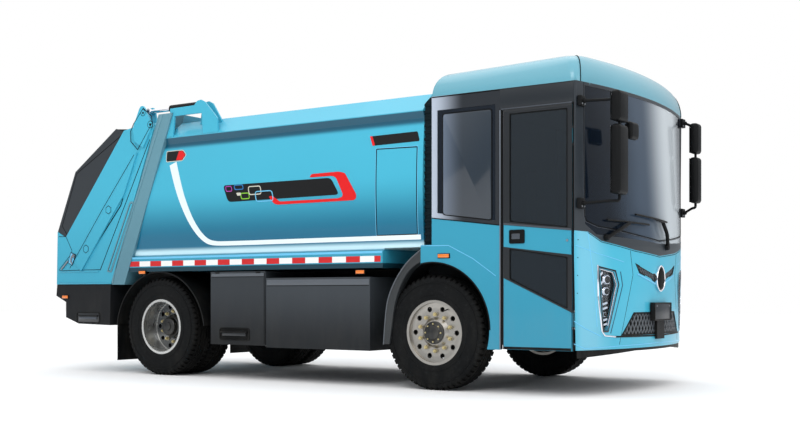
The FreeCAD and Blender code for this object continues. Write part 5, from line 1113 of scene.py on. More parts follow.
# The dome's half width, corner radius and rear end at its foot, and how far the foot reaches below the seam
ROOF_HALF, ROOF_CORNER, ROOF_REAR, ROOF_SKIRT = 1250, 60, 6, 12
# How far the sides, rear and front have drawn in at the top, and what the corner radius has gained there
SIDE_TUCK, REAR_TUCK, FRONT_TUCK, CORNER_GAIN = 200, 110, 150, 90
# The dome's rise at the rear, what it gains at the front and where it has gained it all
ROOF_RISE, ROOF_GAIN, ROOF_GAIN_END = 222, 38, 1450
# Each door's upper and lower opening: its frame's outer outline and the opening itself
DOOR_OPENINGS = (
    ([(738, 1480), (1397, 1410), (1397, 2484), (738, 2484)],
     [(801, 1503), (1355, 1437), (1355, 2445), (801, 2445)]),
    ([(738, 1018), (1397, 718), (1397, 1207), (738, 1289)],
     [(801, 1004), (1355, 751), (1355, 1190), (801, 1274)]),
)


def fit_door_frames():
    """Frames and gaskets round each door's openings, its edge strips, sash, handle and grab rail."""
    for side, name in SIDES:
        part = bmesh.new()
        for outer, inner in DOOR_OPENINGS:
            frame_ring(part, "side", outer, inner, SKIN + 1, SKIN - 2, 0.8, 0)
            waist = (inner[0][1] + inner[2][1]) / 2
            inset = [(x + (9 if x < 1000 else -9), z + (9 if z < waist else -9)) for x, z in inner]
            frame_ring(part, "side", rounded(inner, 26), rounded(inset, 20), SKIN + 8, SKIN - 3.5, 1, 1)
        slab(part, (738, SKIN + 1, 2466), (1387, SKIN - 4, 2478), 1.5, 0)
        slab(part, (738, SKIN + 1, 396), (743, SKIN - 2.5, 2484), 0.5, 0)
        sash = [(743, 1496), (1387, 1427), (1387, 1413), (743, 1482)]
        prism(part, "side", sash, SKIN + 1, SKIN - 5, 1.5, 4)
        slab(part, (812, SKIN - 1.5, 1326), (940, SKIN - 5, 1424), 4, 3, 3)
        frame_ring(part, "side", rounded(rectangle((800, 1314), (950, 1434)), 16),
                   rounded(rectangle((812, 1326), (938, 1422)), 10), SKIN + 1, SKIN - 9, 1.5, 3)
        slab(part, (826, SKIN - 4, 1352), (906, SKIN - 13, 1400), 8, 4, 3)
        bar(part, (1352, SKIN, 1330), (1352, SKIN - 5, 1330), 11, 20, 2, 1)
        slab(part, (738, SKIN + 1, 398), (1387, SKIN - 3, 420), 1.5, 3)
        if side == LEFT:
            flip(part)
        piece("door_dress_" + name, part, ("frame_black", "gasket", "satin_strip", "black_plastic",
                                           "satin_dark"), "door_" + name)
        part = bmesh.new()
        pipe(part, [(770, side * 1190, 2110), (775, side * 1168, 2060), (775, side * 1150, 1700),
                    (762, side * 1150, 1330), (770, side * 1192, 1240)], 15, 0, 80, 12)
        for z in (2110, 1240):
            ball(part, (770, side * 1198, z), 24, 1, (1, 0.5, 1))
        piece("door_grab_" + name, part, ("grab_yellow", "black_plastic"), "door_" + name)


def fit_cab_side():
    """Pillar strips, header, rear pane, arch lips and wings, painted crease highlights and the bellows behind
    the cab.
    """
    part = bmesh.new()
    slab(part, (704, SKIN + 2, 396), (713, SKIN - 5, 2484), 1.5, 0)
    slab(part, (713, SKIN + 3, 396), (732, SKIN - 1.5, 2484), 1, 1)
    slab(part, (1400, SKIN + 6, 400), (1410, SKIN + 1, 2660), 1, 1)
    slab(part, (706, SKIN + 2, 2492), (1410, SKIN - 2.5, 2664), 2, 2)
    slab(part, (716, SKIN + 2, 2484), (1398, SKIN - 6, 2494), 2, 4)
    rim = rounded([(112, 1590), (628, 1520), (628, 2508), (112, 2508)], 34, 6)
    hole = rounded([(120, 1599), (620, 1530), (620, 2500), (120, 2500)], 28, 6)
    pane = rounded([(122, 1600), (618, 1532), (618, 2498), (122, 2498)], 26, 6)
    frame_ring(part, "side", rim, hole, SKIN + 5, SKIN - 0.8, 0.4, 1)
    prism(part, "side", pane, SKIN + 2, SKIN + 0.6, 0.3, 3)
    slab(part, (4, SKIN + 2, 2657), (1408, SKIN - 2, 2667), 1, 1)
    prism(part, "side", [(2, 1571), (704, 1483), (704, 1475), (2, 1563)], SKIN + 2, SKIN - 3, 1, 1)
    piece("cab_side_strips", part, ("satin_strip", "gasket", "header_grey", "inner_pane", "satin_dark"),
          both=True)
    part = bmesh.new()
    lip = arc(0, 560, 611, 0, 101, 26) + arc(0, 560, 599, 0, 101, 26)[::-1]
    prism(part, "side", lip, -1205, -1254, 1.5, 0)
    piece("arch_lip", part, "black_plastic", both=True)
    outer = smooth_line([(-118, 1290), (-161, 1264), (-279, 1178), (-395, 1037), (-482, 876), (-521, 714),
                         (-543, 408)], 3)
    inner = smooth_line([(-118, 1172), (-150, 1166), (-245, 1106), (-318, 1018), (-395, 858), (-430, 715),
                         (-473, 410)], 3)
    part = bmesh.new()
    prism(part, "side", outer + inner[::-1], -1150, -1244, 3, 0)
    prism(part, "side", outer + inner[::-1], -940, -1151, 0, 1)
    # A black plate behind the front wheel that keeps the arch dark, painted shade where the parts behind it
    # would lie
    slab(part, (-420, -640, 900), (520, -622, 1180), 3, 1)
    # Lighter grey bars along the wing's outer edge, a painted highlight
    for (xa, za), (xb, zb) in zip(outer, outer[1:]):
        bar(part, (xa + 4, -1243, za - 3), (xb + 4, -1243, zb - 3), 6, 10, 2)
    piece("arch_wings", part, ("wing_grey", "black_plastic", "edge_grey"), both=True,
          replaces=["wing_trims"])
    part = bmesh.new()
    # A pale strip along the crease, a painted highlight
    crease = [(-118, 1322), (180, 1318), (432, 1196), (665, 1040)]
    for (xa, za), (xb, zb) in zip(crease, crease[1:]):
        prism(part, "side", [(xa, za), (xb, zb), (xb, zb - 7), (xa, za - 7)], SKIN + 2, SKIN - 2.6, 0.8, 0)
    piece("fender_crease", part, "tile_sky", both=True)
    part = bmesh.new()
    prism(part, "side", [(-102, 1262), (-8, 1262), (-8, 2676), (-46, 2676), (-102, 2628)], -1190, -1208, 8, 0)
    for z in range(1290, 2620, 62):
        slab(part, (-105, -1196, z), (-7, -1216, z + 30), 8, 0)
    piece("cab_bellows", part, "bellows", both=True)


def roof_ring(level):
    """One level of the roof's dome: its places along, across and up."""
    tuck = 1 - math.cos(math.radians(level))
    rise = math.sin(math.radians(level))
    half = ROOF_HALF - SIDE_TUCK * tuck
    corner = ROOF_CORNER + CORNER_GAIN * tuck
    rear = ROOF_REAR + REAR_TUCK * tuck
    points = []
    for step in range(ROOF_STEPS + 1):
        share = step / ROOF_STEPS * 2 - 1
        across = half * math.sin(share * math.pi / 2)
        edge = max(0.0, abs(across) - (half - corner))
        x = bow_x(across, BOW_REACH - SCREEN_LEAN, ROOF_BOW_RADIUS) - FRONT_TUCK * tuck
        points.append((x - corner + math.sqrt(max(corner ** 2 - edge ** 2, 0)), across))
    front = points[-1][0]
    sides = [(front + (rear - front) * step / 8, half) for step in range(1, 9)]
    points += sides + [(x, -y) for x, y in sides[::-1]]
    return [(x, y, SEAM_HEIGHT + rise * (ROOF_RISE + ROOF_GAIN * min(max(x / ROOF_GAIN_END, 0), 1)))
            for x, y in points]


def fit_roof():
    """The cab roof as one smooth dome with a crowned top, and its seams."""
    part = bmesh.new()
    rings = [roof_ring(level) for level in (0, 6, 14, 24, 35, 46, 57, 67, 76, 84, 90)]
    rows = [[part.verts.new(at(x, y, z - (ROOF_SKIRT if number == 0 else 0))) for x, y, z in ring]
            for number, ring in enumerate(rings)]
    centre_x = sum(x for x, y, z in rings[-1]) / len(rings[-1])
    for share, rise in ((0.85, 1), (0.6, 2), (0.3, 2.5)):
        rows.append([part.verts.new(at(centre_x + (x - centre_x) * share, y * share, z + rise))
                     for x, y, z in rings[-1]])
    for low, high in zip(rows, rows[1:]):
        close_rows(part, low, high)
    part.faces.new(rows[-1])
    part.faces.new(rows[0][::-1])
    bmesh.ops.recalc_face_normals(part, faces=part.faces)
    piece("roof_dome", part, "roof_paint", sharp=50, replaces=["cab_roof"])
    part = bmesh.new()
    fine = [roof_ring(level) for level in range(0, 91, 5)]
    for spot in (4, ROOF_STEPS - 4):
        pipe(part, [(x + 1, y * 1.001, z + 1) for x, y, z in (ring[spot] for ring in fine)], 4, 0, 20, 8)
    piece("roof_seams", part, "gasket")


def on_front(build, name, finishes, both=True, replaces=()):
    """Builds a piece flat, lays it on the cab front and mirrors it."""
    part = bmesh.new()
    build(part)
    wrap_front(part)
    piece(name, part, finishes, both=both, replaces=replaces)


def flat(part, points, depth, base, soft, index):
    """A plate on the cab front from one distance proud of it to another."""
    prism(part, "front", points, base, depth, soft, index, FRONT_STEP)


def strip(part, points, width, depth, index=0, base=0, soft=1):
    """A bar of one width along (across, up) points on the cab front."""
    for start, end in zip(points, points[1:]):
        flat(part, beam(start, end, width, 0.3), depth, base, soft, index)


def lattice(part, outline, pitch, index, width, depth, base):
    """Crossed bars clipped to an outline on the cab front."""
    low_y, high_y = min(y for y, z in outline), max(y for y, z in outline)
    low_z, high_z = min(z for y, z in outline), max(z for y, z in outline)
    made = bmesh.new()
    run = high_z - low_z
    for lean in (LATTICE_LEAN, -LATTICE_LEAN):
        start = low_y - run
        while start < high_y + run:
            end, side = start + run * lean, width / 2
            corners = [(start - side, low_z), (start + side, low_z), (end + side, high_z),
                       (end - side, high_z)]
            prism(made, "front", corners, base, base + depth, 0, index)
            start += pitch
    middle_y = sum(y for y, z in outline) / len(outline)
    middle_z = sum(z for y, z in outline) / len(outline)
    for (ya, za), (yb, zb) in zip(outline, outline[1:] + outline[:1]):
        normal = Vector((0, zb - za, -(yb - ya)))
        if normal.dot(Vector((0, middle_y - ya, middle_z - za))) > 0:
            normal = -normal
        bmesh.ops.bisect_plane(made, geom=made.verts[:] + made.edges[:] + made.faces[:],
                               plane_co=at(0, ya, za), plane_no=normal, clear_outer=True)
    slice_across(made, *FRONT_STEP)
    absorb(part, made)


# A headlamp's outline, (across, up)
LAMP = [(-908, 560), (-858, 560), (-730, 958), (-776, 1070), (-976, 1104)]


def build_lamp(part):
    """Housing rim, reflectors, inner lenses and light guide of one headlamp."""
    frame_ring(part, "front", [(-921, 548), (-850, 548), (-716, 958), (-766, 1084), (-990, 1118)],
               LAMP, -44, 3, 1, 0)
    flat(part, LAMP, -38, -44, 0, 0)
    forward = Matrix.Rotation(math.radians(90), 4, "Y")
    for y, z, radius in ((-866, 1000, 44), (-874, 900, 38), (-890, 700, 24)):
        for inner, depth, index in ((radius, -12, 1), (radius * 0.80, -6, 0), (radius * 0.34, 0, 3)):
            disc = bmesh.new()
            bmesh.ops.create_cone(disc, cap_ends=True, segments=28, radius1=inner / 1000,
                                  radius2=inner * 0.86 / 1000, depth=0.014)
            paint_faces(disc, index)
            absorb(part, disc, Matrix.Translation(at(depth, y, z)) @ forward)
    strip(part, [(-962, 1090), (-806, 1062), (-752, 960), (-858, 604)], 7, -1, 1, -12)
    for z in (610, 650, 750, 790):
        strip(part, [(-912, z), (-868, z + 12)], 16, -4, 2, -16)
    for z in (840, 960, 1040):
        strip(part, [(-946, z), (-925, z + 20)], 20, -8, 1, -20)


def build_lens(part):
    """The clear cover of one headlamp."""
    flat(part, LAMP, 2.5, -1.5, 1, 0)


def build_corner(part):
    """The lines beside and under the lamp, on the bumper and at the corner, with painted highlights and a
    painted shadow among them, and the corner's screws.
    """
    strip(part, [(-996, 1122), (-986, 860), (-935, 560), (-900, 520), (-760, 507)], 12, 7, 0, -2, 2)
    strip(part, [(-762, 507), (-340, 503), (0, 500)], 14, 6, 1, -2, 2)
    # A deep blue line beside the lamp, a painted shadow
    strip(part, [(-700, 1070), (-668, 955), (-820, 540)], 10, 2, 5, -2, 0.5)
    # Pale blue lines, painted highlights on the corner's creases
    strip(part, [(-1246, 652), (-1123, 585), (-941, 514)], 7, 2.5, 4, -2, 1)
    strip(part, [(-1240, 458), (-1123, 416), (-773, 424), (0, 434)], 6, 2.5, 4, -2, 1)
    strip(part, [(-1236, 1287), (-1012, 1226), (-652, 1157)], 6, 2.5, 4, -2, 1)
    strip(part, [(-1106, 1400), (-1060, 1120), (-1010, 826), (-990, 600)], 7, 1.5, 4, -2, 0.6)
    for z in (1330, 1180, 1030, 880):
        slab(part, (-2, -1216, z), (2.5, -1208, z + 8), 1.5, 3)


def build_seams(part):
    """Panel seams of the cab front and the screen's edge."""
    strip(part, [(-560, 1256), (-512, 1046), (-700, 440)], 4, 1, 0, -3, 0)
    strip(part, [(-1108, 1398), (-952, 1322), (-490, 1256), (0, 1216)], 5, 1.5, 0, -3, 0)
    edge = [(-1150, 2664), (-1149, 2081), (-1145, 1538), (-1118, 1496), (-989, 1456), (-787, 1438),
            (-447, 1403), (0, 1366)]
    strip(part, edge, 7, 1.5, 0, -3, 0.4)
    strip(part, [(y - 9, z - 8) for y, z in edge[:-1]] + [(0, 1357)], 4, 1.8, 1, -3, 0.4)


def build_grille(part):
    """The lower grille's mesh and rim."""
    lattice(part, [(-662, 522), (662, 522), (484, 706), (-484, 706)], 58, 2, 9, 9, -11)
    frame_ring(part, "front", [(-680, 512), (680, 512), (492, 716), (-492, 716)],
               [(-655, 526), (655, 526), (480, 702), (-480, 702)], -4, 5, 2, 1, FRONT_STEP)


def build_wing(part):
    """The upper grille's mesh and rims on one side of the badge, with a pale strip below it painted as a
    highlight.
    """
    wing = [(-462, 1139), (-403, 1073), (-62, 985), (-62, 1040)]
    lattice(part, wing, 34, 2, 6, 8, -11)
    frame_ring(part, "front", [(-478, 1150), (-408, 1063), (-52, 970), (-52, 1052)],
               [(-456, 1134), (-400, 1077), (-64, 990), (-64, 1036)], -4, 4, 1.5, 1)
    # A pale blue strip under the grille, a painted highlight
    strip(part, [(-440, 1054), (-52, 958)], 14, 7, 3, -2, 3)


def build_badge(part):
    """The bare badge place: a plain dark oval with a bright rim."""
    turns = [math.radians(step * 9) for step in range(40)]

    def oval(wide, high):
        return [(wide * math.sin(turn) * (1 - 0.12 * math.cos(turn)), 1021 + high * math.cos(turn))
                for turn in turns]

    frame_ring(part, "front", oval(102, 120), oval(88, 106), -2, 26, 5, 1, (30, 1))
    flat(part, oval(90, 108), 14, -2, 0.5, 0)
    flat(part, oval(70, 86), 24, 13, 6, 2)


def fit_front():
    """Lamps, trim, seams, grilles, badge place and plate place on the cab front."""
    on_front(build_lamp, "lamp_inside", ("gloss_black", "chrome", "white_lens", "clear_lens"),
             replaces=["headlamps"])
    on_front(build_lens, "lamp_cover", "clear_lens")
    on_front(build_corner, "corner_trim", ("chrome", "black_plastic", "gasket", "gasket", "tile_sky",
                                           "deep_blue"))
    on_front(build_seams, "front_seams", ("gasket", "satin_dark"))
    on_front(build_grille, "lower_grille", ("black_plastic", "black_plastic", "mesh_grey"), False)
    on_front(build_wing, "upper_grille", ("black_plastic", "black_plastic", "mesh_grey", "tile_sky"))
    on_front(build_badge, "badge_place", ("black_plastic", "chrome", "gasket"), False)
    part = bmesh.new()
    slab(part, (1700, -200, 642), (1714.5, 200, 796), 6, 0)
    frame_ring(part, "front", rounded(rectangle((-206, 636), (206, 801)), 14),
               rounded(rectangle((-192, 650), (192, 787)), 8), 1708, 1718, 2, 1)
    for y in (-150, 150):
        bar(part, (1712, y, 770), (1719, y, 770), 7, 12, 2, 1)
    piece("plate_place", part, ("header_grey", "black_plastic", "steel"))


def on_screen(place, proud):
    """The x, y and z of an (across, up) place on the cab front, a distance proud of it."""
    return (front_x(*place) + proud, *place)


def fit_wipers():
    """Two wiper arms with their blades parked low on the screen."""
    part = bmesh.new()
    for pivot, elbow, start, end in (((-900, 1362), (-613, 1496), (-900, 1512), (-250, 1500)),
                                     ((170, 1312), (40, 1530), (-482, 1580), (180, 1545))):
        line = [Vector(start).lerp(Vector(end), step / 9) for step in range(10)]
        joint = Vector(start).lerp(Vector(end), 0.5)
        knee = ((pivot[0] + elbow[0]) / 2, (pivot[1] + elbow[1]) / 2 + 10)
        bar(part, on_screen(pivot, -6), on_screen(pivot, 34), 30, 20, 0, 4, 24)
        pipe(part, [on_screen(pivot, 20), on_screen(knee, 44), on_screen(elbow, 34)], 17, 0, 40, 12)
        pipe(part, [on_screen(elbow, 34), on_screen(joint, 26)], 7, 0, 10, 8)
        pipe(part, [on_screen(place, 14) for place in line], 7, 1, 10, 8)
        pipe(part, [on_screen(place, 26 - abs(step - 4.5)) for step, place in enumerate(line)], 9, 0, 10, 8)
    piece("wipers", part, ("black_plastic", "gasket"))


# A mirror's housing, glass, glass rim and back plate: rear and front end, gaps at the sides and ends,
# rounding, paint and steps of the rounding
MIRROR_FORMS = (
    (-42, 42, 0, 0, 30, 0, 5), (-44.5, -38, 14, 16, 3, 1, 2), (-43.4, -39, 8, 10, 3, 0, 2),
    (38, 43.5, 22, 26, 4, 0, 2),
)


def mirror_set(side, x, y, half, levels, arms):
    """One side's mirrors: two housings with their glasses on a bent arm, and the right's kerb mirror."""
    part = bmesh.new()
    for low, high in levels:
        for rear, front, side_gap, end_gap, soft, index, segments in MIRROR_FORMS:
            slab(part, (x + rear, y - half + side_gap, low + end_gap),
                 (x + front, y + half - side_gap, high - end_gap), soft, index, segments)
    foot_y = 1196
    for z, foot_z in arms:
        skin = front_x(foot_y, foot_z)
        end_z = z + (70 if z < 2000 else -40)
        pipe(part, [(skin + 40, foot_y, foot_z), (x - 40, (y + foot_y) / 2, z), (x, y, z), (x, y, end_z)],
             13, 0, 50, 12)
        slab(part, (skin - 6, foot_y - 44, foot_z - 44), (skin + 34, foot_y + 46, foot_z + 44), 8, 0, 3)
        bar(part, (skin + 26, foot_y, foot_z), (skin + 62, foot_y, foot_z), 22, 20, 0, 5, 16)
        for across in (-24, 24):
            bolt = (foot_y + across, foot_z - 26)
            bar(part, (skin + 32, *bolt), (skin + 38, *bolt), 8, 6, 2, 1)
    pipe(part, [(x, y, levels[0][0] - 20), (x, y, levels[1][1] - 30)], 13, 0, 10, 12)
    if side == RIGHT:
        hook = [(x, y, 2336), (x, y - 120, 2336), (x + 2, y - 250, 2332), (x + 4, y - 250, 2300)]
        pipe(part, hook, 10, 0, 40, 10)
        slab(part, (x - 28, y - 338, 2196), (x + 42, y - 166, 2344), 30, 0, 5)
        slab(part, (x - 30.5, y - 324, 2210), (x - 25, y - 180, 2330), 3, 1, 2)
        flip(part)
    return part


def fit_mirrors():
    """Rounded housings with their glasses on jointed arms; the kerb mirror is on the right."""
    part = mirror_set(RIGHT, 1741, 1062, 104, ((1710, 2293), (2317, 2575)), ((1655, 1640), (2500, 2500)))
    left = mirror_set(LEFT, 1612, 1150, 72, ((1790, 2250), (2285, 2590)), ((1745, 1700), (2570, 2610)))
    absorb(part, left)
    piece("mirror_arms", part, ("black_plastic", "mirror_face", "steel"),
          replaces=["mirrors"])


# Rear

# The right faces of the tailgate, its bars, ears and covers, and of the ring frame
GATE = -1250
GATE_BAR = -1270
EAR = -1272
COVER = -1246
RING = -1244


def edge_line(target, points, width, proud, index=0, face=GATE, soft=0.5):
    """Flat bars of one width along (along, up) points on a side face."""
    for start, end in zip(points, points[1:]):
        prism(target, "side", beam(start, end, width, 0.35), face + 3, face - proud, soft, index)


def fit_gate_side():
    """Bosses on the guides, pins in the ears, painted shadow lines, pulls and catch on the tailgate's sides.
    """
    part = bmesh.new()
    # A dark ring round each boss and ear pin, a painted shadow at its edge
    for x, z in ((-4276, 1822), (-4651, 1393)):
        bar(part, (x, GATE_BAR + 3, z), (x, GATE_BAR - 1.2, z), 50, 6, 1)
        bar(part, (x, GATE_BAR, z), (x, GATE_BAR - 1.8, z), 42, 6, 0)
    for x, z, radius in ((-3721, 2858, 30), (-3612, 2722, 34)):
        bar(part, (x, EAR + 4, z), (x, EAR - 0.4, z), radius + 7, 28, 1)
        bar(part, (x, EAR + 3, z), (x, EAR - 0.7, z), radius, 28, 0)
        bar(part, (x, EAR + 2, z), (x, EAR - 0.9, z), radius * 0.45, 16, 1)
    edge_line(part, [(-4460, 1136), (-5128, 1134)], 12, 8, 0, soft=2)
    edge_line(part, [(-4290, 1000), (-5132, 1003)], 14, 8, 0, soft=2)
    piece("gate_bosses", part, ("gate_paint", "gasket"), "tailgate", both=True)
    part = bmesh.new()
    # Dark lines along the guides, covers and ears, painted shadows at their edges
    edge_line(part, [(-4062, 1940), (-4098, 1862), (-4726, 1196)], 13, 1.5)
    edge_line(part, [(-3888, 2412), (-4400, 1832), (-4950, 1180)], 7, 1.5)
    edge_line(part, [(-4440, 1156), (-5130, 1152)], 6, 1.5)
    edge_line(part, [(-4434, 1150), (-3640, 2560)], 9, 1.5)
    edge_line(part, [(-5142, 1548), (-5018, 1544), (-4916, 1384), (-4916, 1350), (-5140, 1160)], 6, 1.5)
    edge_line(part, [(-4112, 2700), (-3975, 2688), (-4058, 2660), (-4838, 2262), (-5088, 1668),
                     (-5004, 1568)], 8, 1.5, face=COVER)
    edge_line(part, [(-3717, 2908), (-3594, 2812), (-3578, 2738), (-3806, 2462), (-3914, 2560), (-3916, 2674),
                     (-3872, 2748), (-3717, 2908)], 8, 0.8, face=EAR, soft=0)
    piece("gate_outlines", part, "gasket", "tailgate", both=True)
    part = bmesh.new()
    recess_handle(part, -4822, -4458, 562, 662, -1245)
    piece("gate_pulls", part, ("frame_black", "black_plastic", "satin_dark"), "tailgate",
          both=True)
    part = bmesh.new()
    loop = [(-4926, 1358), (-4844, 1330), (-4904, 1212), (-4972, 1240)]
    prism(part, "side", rounded(loop, 16), GATE + 4, GATE - 7, 2, 0)
    edge_line(part, loop + loop[:1], 6, 8.5, 1)
    pipe(part, [(-4868, GATE - 2, 1330), (-4905, GATE - 13, 1316), (-4920, GATE - 13, 1250),
                (-4890, GATE - 13, 1226)], 9, 3, 24, 12)
    bar(part, (-4876, GATE + 2, 1318), (-4876, GATE - 20, 1318), 20, 20, 3, 2)
    pipe(part, [(-5087, GATE - 9, 1166), (-4972, GATE - 9, 1262)], 9, 3, 10, 12)
    piece("gate_catch", part, ("tile_sky", "black_plastic", "frame_black", "steel"), "tailgate",
          both=True)


def plate_on(target, start, end, y0, y1, proud):
    """A bar lying on a sloped face between two (along, up) places of it."""
    along = (Vector(end) - Vector(start)).normalized()
    out = Vector((along.y, -along.x)) * proud
    into = out.normalized() * -3
    corners = [(x + way.x, z + way.y)
               for (x, z), way in ((start, into), (end, into), (end, out), (start, out))]
    prism(target, "side", corners, y0, y1)


def fit_gate_rear():
    """Ribs and grip of the rear cover, lamp clusters, blank plate place and reflectors on the trough."""
    part = bmesh.new()
    for start, end in (((-4214, 2700), (-4846, 2290)), ((-4866, 2264), (-4982, 2008))):
        for y in (-1190, -790, -30, 730, 1130):
            plate_on(part, start, end, y, y + 60, 7)
    plate_on(part, (-4852, 2286), (-4860, 2274), -1236, 1236, 5)
    for start, end in (((-4238, 2684), (-4262, 2668)), ((-4972, 2030), (-4982, 2008))):
        plate_on(part, start, end, -1200, 1200, 7)
    for y in (-300, 270):
        slab(part, (-4978, y, 2106), (-4934, y + 30, 2130), 5, 1)
    bar(part, (-4974, -300, 2118), (-4974, 300, 2118), 11, 16, 1, 3)
    piece("cover_ribs", part, ("box_dark", "black_plastic"), "tailgate")
    part = bmesh.new()
    for side in (RIGHT, LEFT):
        slab(part, (-5186, side * 808, 1038), (-5176, side * 1112, 1152), 4, 0)
        for first, last, index in ((1014, 1106, 1), (936, 1006, 2), (876, 928, 3), (816, 868, 1)):
            slab(part, (-5190.5, side * first, 1046), (-5184, side * last, 1144), 4, index, 3)
    piece("tail_clusters", part, ("black_plastic", "red_lens", "amber_lens", "white_lens"), "tailgate",
          replaces=["tail_lamps"])
    part = bmesh.new()
    slab(part, (-5184, -240, 1046), (-5176, 240, 1176), 5, 0)
    slab(part, (-5186, -228, 1058), (-5182, 228, 1164), 3, 1)
    for y in (-180, 180):
        bar(part, (-5185, y, 1146), (-5188, y, 1146), 7, 12, 4, 1)
    for number in range(8):
        for side in (RIGHT, LEFT):
            near = 330 + 100 * number
            paint = 2 + number % 2
            slab(part, (-5179, side * near, 1226), (-5176.4, side * (near + 100), 1276), 0.4, paint, 1)
    slab(part, (-5182, -1210, 1306), (-5170, 1210, 1330), 5, 5)
    piece("trough_fittings", part, ("black_plastic", "header_grey", "tape_red", "tape_white", "steel",
                                    "gate_paint"), "tailgate")


def fit_ring():
    """The ring frame's outer bar and the slot for the tailgate's pin."""
    part = bmesh.new()
    outer = ((-3440, 2820), (-3470, 2820), (-4200, 1210), (-4250, 1000), (-4228, 1000), (-4172, 1204))
    prism(part, "side", outer, RING + 2, RING - 5, 2, 0)
    piece("ring_edge", part, "ring_paint", both=True)
    part = bmesh.new()
    slot = [(-3944, 1880), (-3902, 1880), (-4262, 1136), (-4304, 1142)]
    rim = rounded([(-3952, 1902), (-3884, 1898), (-4244, 1120), (-4324, 1128)], 22)
    frame_ring(part, "side", rim, rounded(slot, 16), GATE + 2, GATE - 5, 2, 0)
    # A dark line round the slot, a painted shadow at its edge
    edge_line(part, slot + slot[:1], 9, 1.5, 1)
    piece("pin_slots", part, ("ring_paint", "gasket"), "tailgate", both=True)


# Stage

FLOOR_COLOR = (0.97, 0.97, 0.972)
SKY_LOW, SKY_HIGH = (0.56, 0.58, 0.60), (1.0, 1.0, 1.0)
CAMERA_PLACE, CAMERA_TURN, CAMERA_SHIFT = (FRONT_AXLE + 5.512, -9.905, 0.869), 34.1, 0.1
# Each light's place, target, size and power setting
LIGHTS = {
    "key": ((6.0, -11.0, 9.5), (0, -1, 1.2), (7.0, 5.0), "key"),
    "front_fill": ((11.5, -1.5, 4.5), (1.5, 0, 1.4), (5.0, 4.0), "fill"),
    "top": ((-1.0, 0.5, 10.5), (-0.5, 0, 0), (10.0, 5.0), "top"),
}


def plain_material(name, color, roughness):
    """A material of one colour."""
    material = bpy.data.materials.new(name)
    material.use_nodes = True
    surface = material.node_tree.nodes["Principled BSDF"]
    surface.inputs["Base Color"].default_value = linear(color)
    surface.inputs["Roughness"].default_value = roughness
    return material


def set_floor(stage):
    """A square floor that isn't part of the model."""
    mesh = bpy.data.meshes.new("studio_floor")
    half = stage.floor_size / 2
    mesh.from_pydata([(-half, -half, 0), (half, -half, 0), (half, half, 0), (-half, half, 0)], [],
                     [(0, 1, 2, 3)])
    mesh.materials.append(plain_material("studio_floor", FLOOR_COLOR, 1.0))
    floor = bpy.data.objects.new("studio_floor", mesh)
    bpy.context.scene.collection.objects.link(floor)


def set_light(name, place, target, size, watts):
    """A white area light turned towards its target."""
    data = bpy.data.lights.new(name, "AREA")
    data.shape = "RECTANGLE"
    data.size, data.size_y = size
    data.energy = watts
    lamp = bpy.data.objects.new(name, data)
    lamp.location = place
    lamp.rotation_euler = (Vector(target) - Vector(place)).to_track_quat("-Z", "Y").to_euler()
    bpy.context.scene.collection.objects.link(lamp)


def set_world(stage):
    """White for the camera, a soft pale sky for the light."""
    world = bpy.data.worlds.new("studio")
    world.use_nodes = True
    t = Tree(world.node_tree)
    t.nodes.clear()
    up = t.axis(t.add("ShaderNodeTexCoord").outputs["Generated"], "Z")
    tone = t.mix(t.ramp(up, 0.0, 0.75), linear(SKY_LOW), linear(SKY_HIGH))
    sky = t.add("ShaderNodeBackground", {"Color": tone, "Strength": stage.sky})
    white = t.add("ShaderNodeBackground", {"Color": (1, 1, 1, 1), "Strength": 1.0})
    seen = t.add("ShaderNodeMixShader")
    rays = t.add("ShaderNodeLightPath").outputs
    t.feed(seen.inputs[0], t.math("MAXIMUM", rays["Is Camera Ray"], rays["Is Transmission Ray"]))
    t.feed(seen.inputs[1], sky.outputs[0])
    t.feed(seen.inputs[2], white.outputs[0])
    t.feed(t.add("ShaderNodeOutputWorld").inputs["Surface"], seen.outputs[0])
    bpy.context.scene.world = world


def set_camera(stage):
    """The photo's view."""
    data = bpy.data.cameras.new("photo_view")
    data.lens = stage.lens
    data.sensor_width = 36
    data.shift_y = CAMERA_SHIFT
    data.clip_end = 200
    camera = bpy.data.objects.new("photo_view", data)
    camera.location = CAMERA_PLACE
    camera.rotation_euler = (math.radians(90), 0, math.radians(CAMERA_TURN))
    bpy.context.scene.collection.objects.link(camera)
    bpy.context.scene.camera = camera


def make_stage(scene):
    """Floor, sky, three lights and the camera."""
    stage = scene.truck_studio
    set_floor(stage)
    set_world(stage)
    for name, (place, target, size, power) in LIGHTS.items():
        set_light(name, place, target, size, getattr(stage, power))
    set_camera(stage)
    scene.view_settings.view_transform = "Standard"
    scene.view_settings.look = "None"


# Add-on

class TruckColors(bpy.types.PropertyGroup):
    body: bpy.props.FloatVectorProperty(name="Body", description="Colour of the cab and container", size=3,
                                        subtype="COLOR_GAMMA", min=0, max=1, default=(0.262, 0.69, 0.80))
    roof: bpy.props.FloatVectorProperty(name="Roof", description="Colour of the cab roof", size=3,
                                        subtype="COLOR_GAMMA", min=0, max=1, default=(0.36, 0.62, 0.69))
    dark: bpy.props.FloatVectorProperty(name="Dark parts", description="Colour of painted dark parts", size=3,
                                        subtype="COLOR_GAMMA", min=0, max=1, default=(0.17, 0.20, 0.24))
    panel: bpy.props.FloatVectorProperty(name="Lockers", description="Colour of lockers and rear covers",
                                         size=3, subtype="COLOR_GAMMA", min=0, max=1,
                                         default=(0.225, 0.245, 0.265))
    glass: bpy.props.FloatVectorProperty(name="Glass", description="Tint of the windows", size=3,
                                         subtype="COLOR_GAMMA", min=0, max=1, default=(0.20, 0.25, 0.29))


